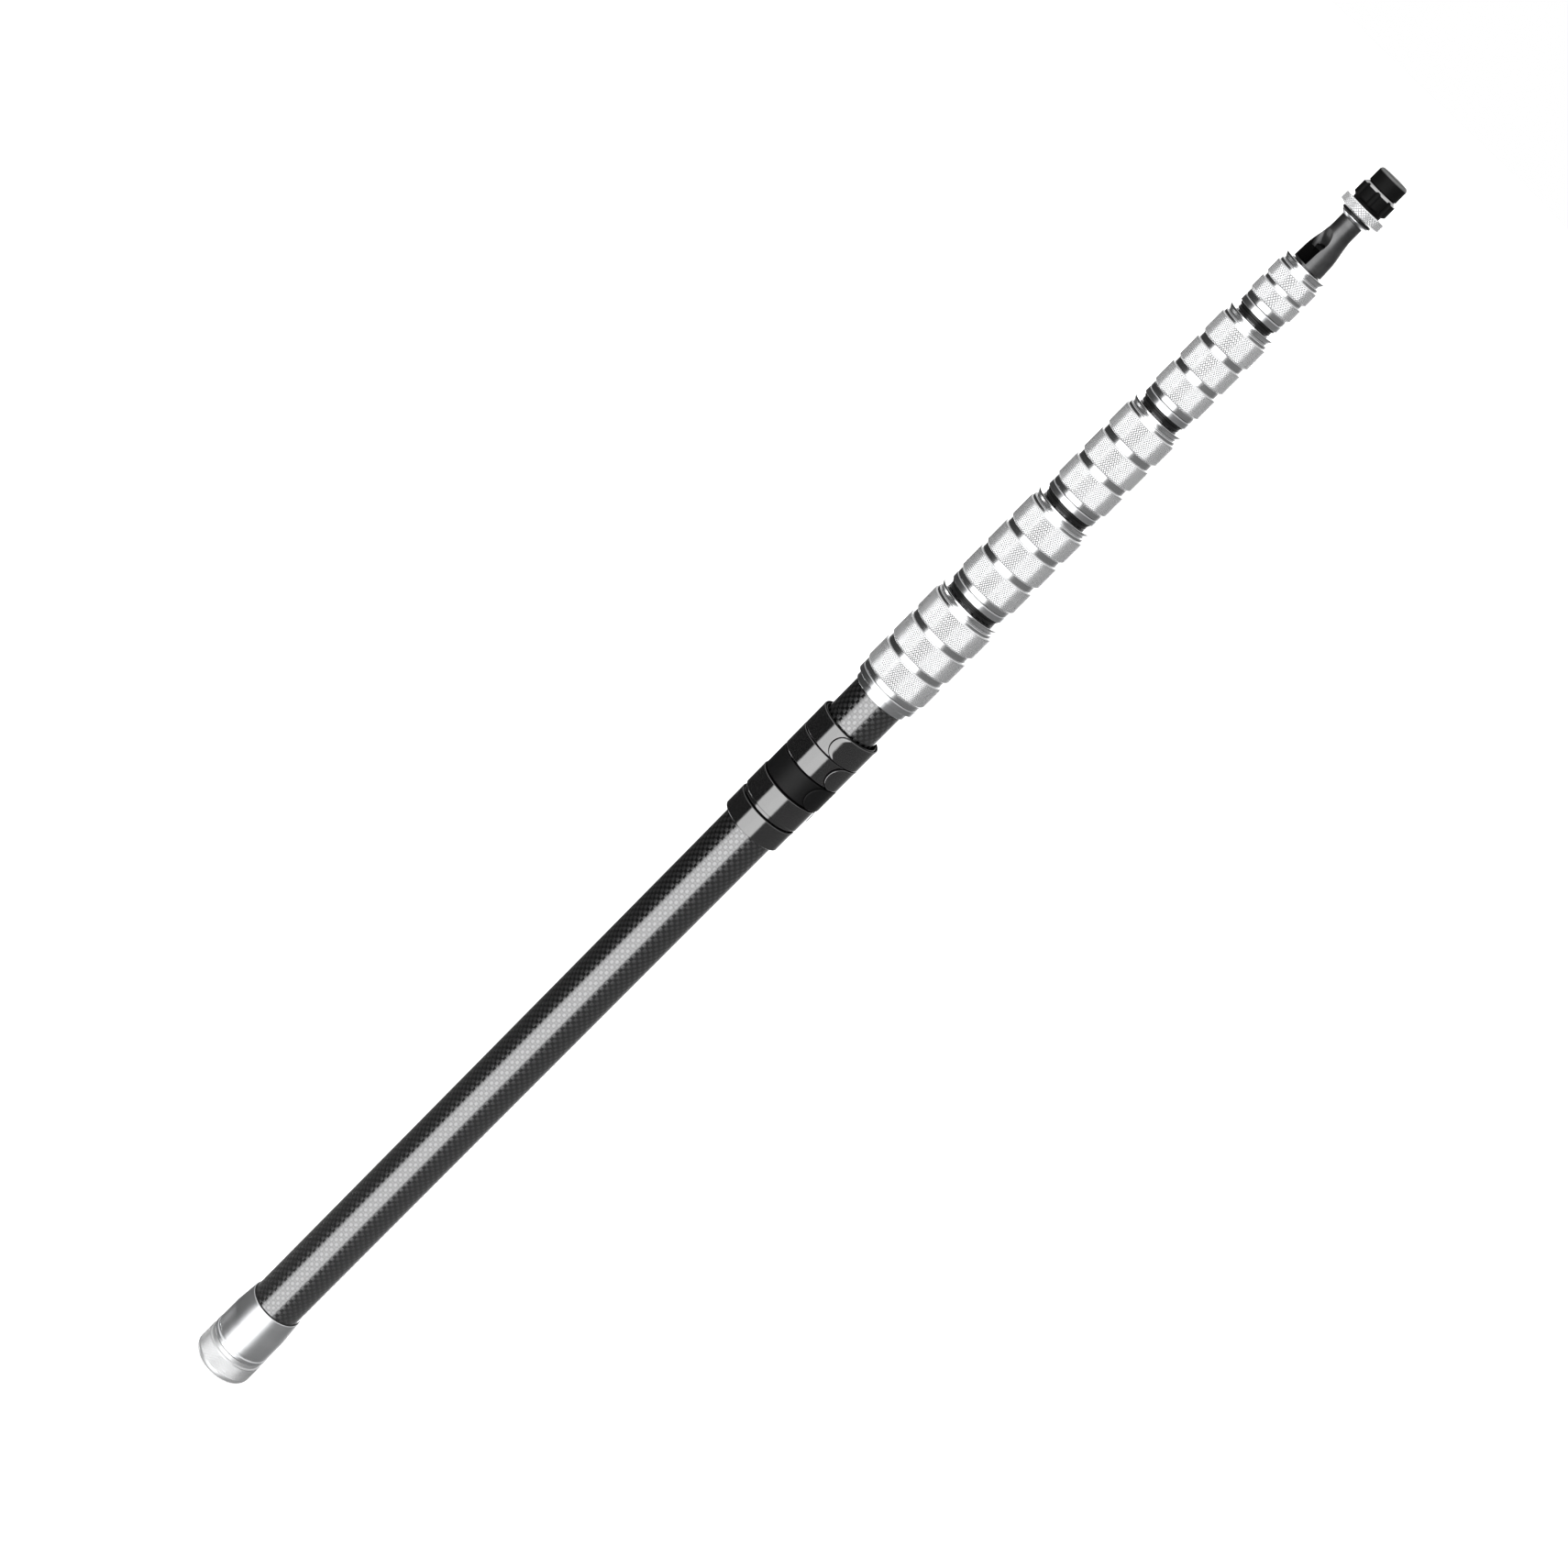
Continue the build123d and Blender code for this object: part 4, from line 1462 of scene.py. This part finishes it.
# ---------------------------------------------------------------- tip
@dataclass
class Tip:
    """The quick-release tip: jam ring and its seal, fluted sleeve, and the nose."""

    stud: float = 4.91
    sleeve_radius: float = 11.75
    sleeve_foot: float = 9.9
    sleeve_bore: float = 8.0
    rim_radius: float = 10.0
    rim_chamfer: float = 1.8
    flutes: int = 8
    flute_radius: float = 2.4
    flute_depth: float = 1.1
    neck: float = 9.3
    nose_height: float = 9.8
    nose_corner: float = 2.0
    stud_reach: float = 17.0
    crown_sheen: float = 0.3
    knurl: Knurl = Knurl(pitch=1.4, lead_angle=42.0, depth=0.36, fade=0.25)

    def build(self, paints: Paints) -> None:
        """Builds the tip's pieces from the seal up.

        Args:
            paints: the shared finishes.
        """
        self.build_seal(paints)
        self.build_jam_ring(paints)
        self.build_sleeve(paints)
        self.build_core(paints)

    def build_seal(self, paints: Paints) -> None:
        """Turns the black ring under the jam ring, with a round edge.

        Args:
            paints: the shared finishes.
        """
        size = Extent.of("jam_ring_seal")
        bore, rim = self.stud, size.radius
        outline = [(bore, size.foot), (rim, size.foot), (rim, size.top), (bore, size.top)]
        piece = turned(rounded(outline, 0.6, steps=6)).to_object("jam_ring_seal_ring", paints.rubber)
        fit_piece(piece, "jam_ring", "jam_ring_seal")

    def build_jam_ring(self, paints: Paints) -> None:
        """Turns the knurled ring, conical below: its line falls in by 3 mm for each 1 mm down.

        Args:
            paints: the shared finishes.
        """
        size = Extent.of("jam_ring")
        knee, crown, cone = size.foot + 1.2, size.top - 0.5, 3.0
        work = KnurledTurning(self.knurl, self.knurl.columns(size.radius))
        start = size.foot + 0.3
        first = size.radius - cone * (knee - start)
        work.plain([(self.stud, size.foot), (first - 0.8, size.foot), (first, start)], 0.2)
        work.band(start, crown, lambda height: size.radius - cone * np.clip(knee - height, 0, None))
        work.plain([
            (size.radius, crown), (size.radius - 0.5, size.top), (self.stud, size.top),
            (self.stud, size.foot + 0.1),
        ], 0.2)
        piece = work.surface().to_object("jam_ring_knurled", paints.knurled, crease=24.0)
        fit_piece(piece, "jam_ring", "jam_ring")

    def build_sleeve(self, paints: Paints) -> None:
        """Turns the sleeve, then presses its flutes into it.

        A flute is a round bar's hollow. With a the angle from its middle and c the radius of the
        bars' centres, the radius is at most c cos a - sqrt(bar^2 - (c sin a)^2).

        Args:
            paints: the shared finishes.
        """
        size = Extent.of("tip_sleeve")
        orbit = self.sleeve_radius - self.flute_depth + self.flute_radius
        pitch = FULL_TURN / self.flutes
        half = math.asin(self.flute_radius / orbit)
        hollow = half * np.sin(np.linspace(-1.5, 1.5, 23))
        land = np.linspace(half * 1.02, pitch - half * 1.02, 9)
        steps = np.concatenate([hollow, land])
        angles = (np.arange(self.flutes)[:, None] * pitch + steps).ravel()
        foot, rim, wall = size.foot, size.top, self.sleeve_radius
        outline = rounded([
            (self.sleeve_bore, foot), (self.sleeve_foot, foot), (self.sleeve_foot, foot + 1.2),
            (wall, foot + 2.6), (wall, rim - self.rim_chamfer), (self.rim_radius, rim),
            (self.sleeve_bore, rim),
        ], 0.2)
        slope = np.linspace(0, 1, 9)[1:-1, None]
        below, above = np.array([[wall, rim - self.rim_chamfer]]), np.array([[self.rim_radius, rim]])
        chamfer = below * (1 - slope) + above * slope
        top = int(np.argmax(outline[:, 1] > rim - 0.5 * self.rim_chamfer))
        outline = np.concatenate([outline[:top], chamfer, outline[top:]])

        def fluted(
            radius: np.ndarray, height: np.ndarray, angle: np.ndarray
        ) -> tuple[np.ndarray, np.ndarray]:
            """Keeps the radius under each flute's bar.

            Args:
                radius: radius at each grid point, in millimetres.
                height: height at each grid point.
                angle: angle at each grid point.

            Returns:
                The new radius and height.
            """
            turn = (angle + pitch / 2) % pitch - pitch / 2
            reach = self.flute_radius ** 2 - (orbit * np.sin(turn)) ** 2
            bar = np.where(reach > 0, orbit * np.cos(turn) - np.sqrt(np.clip(reach, 0, None)), np.inf)
            return np.minimum(radius, bar), height

        surface = turned(outline, angles=angles, shape=fluted)
        x, y, height = surface.points.T / MM
        radius = np.hypot(x, y)
        climb = (height - rim + self.rim_chamfer) / self.rim_chamfer
        on_slope = np.abs(radius - wall + (wall - self.rim_radius) * climb) < 0.03
        surface.attributes["bare_and_sheen"] = (on_slope & (climb > 0.1) & (climb < 0.99)).astype(float)
        piece = surface.to_object("tip_sleeve_fluted", paints.anodised_black)
        fit_piece(piece, "tip", "tip_sleeve")

    def build_core(self, paints: Paints) -> None:
        """Turns the core: stem in the sleeve, neck above it, and the smooth round-cornered nose, whose
        corner carries a painted highlight.

        Args:
            paints: the shared finishes.
        """
        size = Extent.of("tip_core")
        nose_foot = size.top - self.nose_height
        shelf = Extent.of("tip_sleeve").top + 0.05
        swing = np.linspace(0, math.pi / 2, 11)
        flat = size.radius - self.nose_corner
        crown = np.stack([
            flat + self.nose_corner * np.cos(swing),
            size.top - self.nose_corner + self.nose_corner * np.sin(swing),
        ], axis=1)
        lower = rounded([
            (self.stud, size.foot), (self.sleeve_bore - 0.05, size.foot), (self.sleeve_bore - 0.05, shelf),
            (self.neck, shelf), (self.neck, nose_foot), (size.radius, nose_foot),
            (size.radius, size.top - self.nose_corner - 0.1),
        ], 0.3, closed=False)
        stud_top = size.foot + self.stud_reach
        axis = np.array([(0.5 * flat, size.top), (0.0, size.top), (0.0, stud_top), (self.stud, stud_top)])
        outline = np.concatenate([lower, crown, axis])
        surface = turned(outline)
        # painted highlight: a lighter, metallic band on the nose's round corner stands in for its sheen
        climb = (surface.points[:, 2] / MM - size.top + self.nose_corner) / self.nose_corner
        surface.attributes["bare_and_sheen"] = self.crown_sheen * np.clip(4 * climb * (1 - climb), 0, 1)
        piece = surface.to_object("tip_nose", paints.anodised_black, weld=True)
        fit_piece(piece, "tip", "tip_core")


# ---------------------------------------------------------------- studio
def towards(bearing: float, elevation: float) -> np.ndarray:
    """Unit vector towards a bearing and an elevation in degrees."""
    turn, rise = math.radians(bearing), math.radians(elevation)
    return np.array([math.sin(turn) * math.cos(rise), -math.cos(turn) * math.cos(rise), math.sin(rise)])


@dataclass(frozen=True)
class Studio:
    """A pale floor, a white surround with soft upright light banks, and the camera.

    Bearings and elevations are in degrees round the pole: bearing 0 is -Y and 90 is +X. Each pair
    is the angle where a smooth step starts and the one where it ends.
    """

    camera_bearing: float = 47.0
    camera_elevation: float = 18.0
    camera_distance: float = 1.880
    aim_height: float = 0.5575
    aim_offset: float = 0.00424
    lean: float = 44.76
    lens: float = 71.58
    sensor: float = 36.0
    floor_half: float = 40.0
    bank_bearing: float = 37.0
    bank_half: float = 32.0
    bank_light: float = 4.0
    back_bank_half: float = 17.0
    back_bank_light: float = 2.0
    dome_light: float = 0.85
    top_light: float = 1.7
    rear_light: float = 0.7
    floor_shade: float = 0.12
    ramp_bearing: float = -81.0
    ramp_elevation: float = -49.0
    ramp_light: float = 7.0
    ramp_edge: tuple[float, float] = (12.0, 6.0)
    dark_side: float = 0.05
    grey_side: float = 0.24
    bank_edge: float = 3.0
    bank_top: tuple[float, float] = (50.0, 30.0)
    bank_foot: tuple[float, float] = (-85.0, -60.0)
    side_edge: tuple[float, float] = (-6.0, 6.0)
    rear_edge: tuple[float, float] = (135.0, 165.0)
    low_edge: tuple[float, float] = (-18.0, -36.0)
    floor_edge: tuple[float, float] = (-50.0, -68.0)
    horizon_edge: tuple[float, float] = (110.0, 150.0)
    horizon_front: float = 14.0
    horizon_rear: float = 2.0
    dome_edge: tuple[float, float] = (-1.5, 4.0)
    top_edge: tuple[float, float] = (40.0, 60.0)

    def build(self) -> None:
        """Builds the camera, the floor and the surround."""
        self.build_camera()
        self.build_floor()
        self.build_surround()
        bpy.context.scene.view_settings.view_transform = "Standard"
        LOG.info("studio: camera, floor and surround are in place")

    def build_camera(self) -> None:
        """Places the camera on its bearing, aimed beside the pole, rolled so that the pole leans."""
        back = towards(self.camera_bearing, self.camera_elevation)
        right = towards(self.camera_bearing + 90.0, 0.0)
        up = np.cross(back, right)
        roll = math.radians(self.lean)
        side = right * math.cos(roll) + up * math.sin(roll)
        top = up * math.cos(roll) - right * math.sin(roll)
        aim = np.array([0.0, 0.0, self.aim_height]) - right * self.aim_offset
        place = aim + back * self.camera_distance
        data = bpy.data.cameras.new("camera")
        data.lens, data.sensor_width = self.lens, self.sensor
        data.clip_start, data.clip_end = 0.05, 200.0
        camera = bpy.data.objects.new("camera", data)
        camera.matrix_world = Matrix(np.vstack([np.stack([side, top, back, place], axis=1), [0, 0, 0, 1]]))
        bpy.context.scene.collection.objects.link(camera)
        bpy.context.scene.camera = camera

    def build_floor(self) -> None:
        """Lays the floor under the foot. Reflections look past it to the surround."""
        half = self.floor_half
        corners = np.array([(-half, -half, 0), (half, -half, 0), (half, half, 0), (-half, half, 0)], float)
        shade = Surfacing("pale_floor")
        place = shade.place()
        tone = shade.tint(shade.noise(place.position, 3.0), (0.86, 0.86, 0.86), (0.9, 0.9, 0.9))
        material = shade.finish(
            Base_Color=tone,
            Roughness=0.9,
            Specular_IOR_Level=0.0,
            Emission_Color=(1.0, 1.0, 1.0, 1.0),
            Emission_Strength=0.35,
        )
        floor = Surface(corners, np.array([[0, 1, 2, 3]])).to_object("floor", material)
        floor.visible_glossy = False

    def build_surround(self) -> None:
        """Lights the pole from all round. To the eye the surround is plain white.

        As light it is a bank towards the camera, a narrower one behind, a dome above, and below the
        horizon a dark side and a grey side that lighten downwards. One small patch low at the side
        lights the ramp of the cable window.
        """
        world = bpy.data.worlds.new("studio")
        world.use_nodes = True
        bpy.context.scene.world = world
        graph = Graph(world.node_tree)
        direction = graph.node("ShaderNodeTexCoord").outputs["Generated"]
        split = graph.node("ShaderNodeSeparateXYZ", None, {0: direction}).outputs
        x, y, z = (Value(graph, socket) for socket in split)
        degree = 180 / math.pi
        elevation = z.math("ARCSINE") * degree
        bearing = graph.math("ARCTAN2", x, y * -1.0) * degree
        off_front = (bearing - (self.bank_bearing - 180.0)).math("FLOORED_MODULO", 360.0) - 180.0
        spread = off_front.math("ABSOLUTE")
        front = graph.step(spread, self.bank_half + self.bank_edge, self.bank_half - self.bank_edge)
        back_edge = 180 - self.back_bank_half
        behind = graph.step(spread, back_edge - self.bank_edge, back_edge + self.bank_edge)
        sides = graph.step(off_front, *self.side_edge).mix(self.dark_side, self.grey_side)
        around = graph.step(spread, *self.rear_edge).mix(sides, self.rear_light)
        low = graph.step(elevation, *self.low_edge).mix(around, around * 0.5 + 0.2)
        below = graph.step(elevation, *self.floor_edge).mix(low, self.floor_shade)
        horizon = graph.step(spread, *self.horizon_edge).mix(self.horizon_front, self.horizon_rear)
        dome = graph.step(elevation - horizon, *self.dome_edge)
        sky = graph.step(elevation, *self.top_edge).mix(self.dome_light, self.top_light)
        east, north, rise = towards(self.ramp_bearing, self.ramp_elevation)
        facing = x * east + y * north + z * rise
        rim, core = (math.cos(math.radians(angle)) for angle in self.ramp_edge)
        patch = graph.step(facing, rim, core) * self.ramp_light
        height_fade = graph.step(elevation, *self.bank_top) * graph.step(elevation, *self.bank_foot)
        banks = front * self.bank_light + behind * self.back_bank_light
        light = dome.mix(below, sky) + banks * height_fade + patch
        seen = Value(graph, graph.node("ShaderNodeLightPath").outputs["Is Camera Ray"])
        inputs = {"Color": (1.0, 1.0, 1.0, 1.0), "Strength": seen.mix(light, 1.0)}
        background = graph.node("ShaderNodeBackground", None, inputs)
        graph.node("ShaderNodeOutputWorld", None, {"Surface": background.outputs[0]})


# ---------------------------------------------------------------- the whole pole
LOCKS = [
    TwistLock(1, bands=3, groove=4.1),
    TwistLock(2, bands=3, groove=4.1),
    TwistLock(3, bands=3, groove=4.3),
    TwistLock(4, bands=3, groove=4.1),
    TwistLock(5, bands=2, groove=2.2, knurl=Knurl(pitch=1.45, depth=0.26)),
]
STRAPS = [
    CableStrap(1, StrapSide.SLICK, tongue_bearing=205.0, turns=1.75, trims=(-0.5, 2.2)),
    CableStrap(
        2, StrapSide.SLICK, tongue_bearing=150.0, turns=2.05, trims=(0.4, 0.0), inner_shift=-2.6, tilt=-0.2
    ),
    CableStrap(3, StrapSide.NAPPED, tongue_bearing=74.0, turns=1.8),
    CableStrap(4, StrapSide.SLICK, tongue_bearing=76.0, turns=1.95),
    CableStrap(5, StrapSide.SLICK, tongue_bearing=42.0, turns=2.05, tilt=-0.3, curl=0.4, tip_round=2.4),
]


def main() -> None:
    """Builds the studio and then the pole, from its foot to its tip."""
    logging.basicConfig(level=logging.INFO, format="%(name)s %(message)s")
    Studio().build()
    paints = Paints.mix()
    Foot().build(paints)
    for number in range(1, SECTIONS + 1):
        Section(number).build(paints)
    for strap in STRAPS:
        strap.build()
    for lock in LOCKS:
        lock.build(paints)
    Head().build(paints)
    Tip().build(paints)


if __name__ == "__main__":
    main()
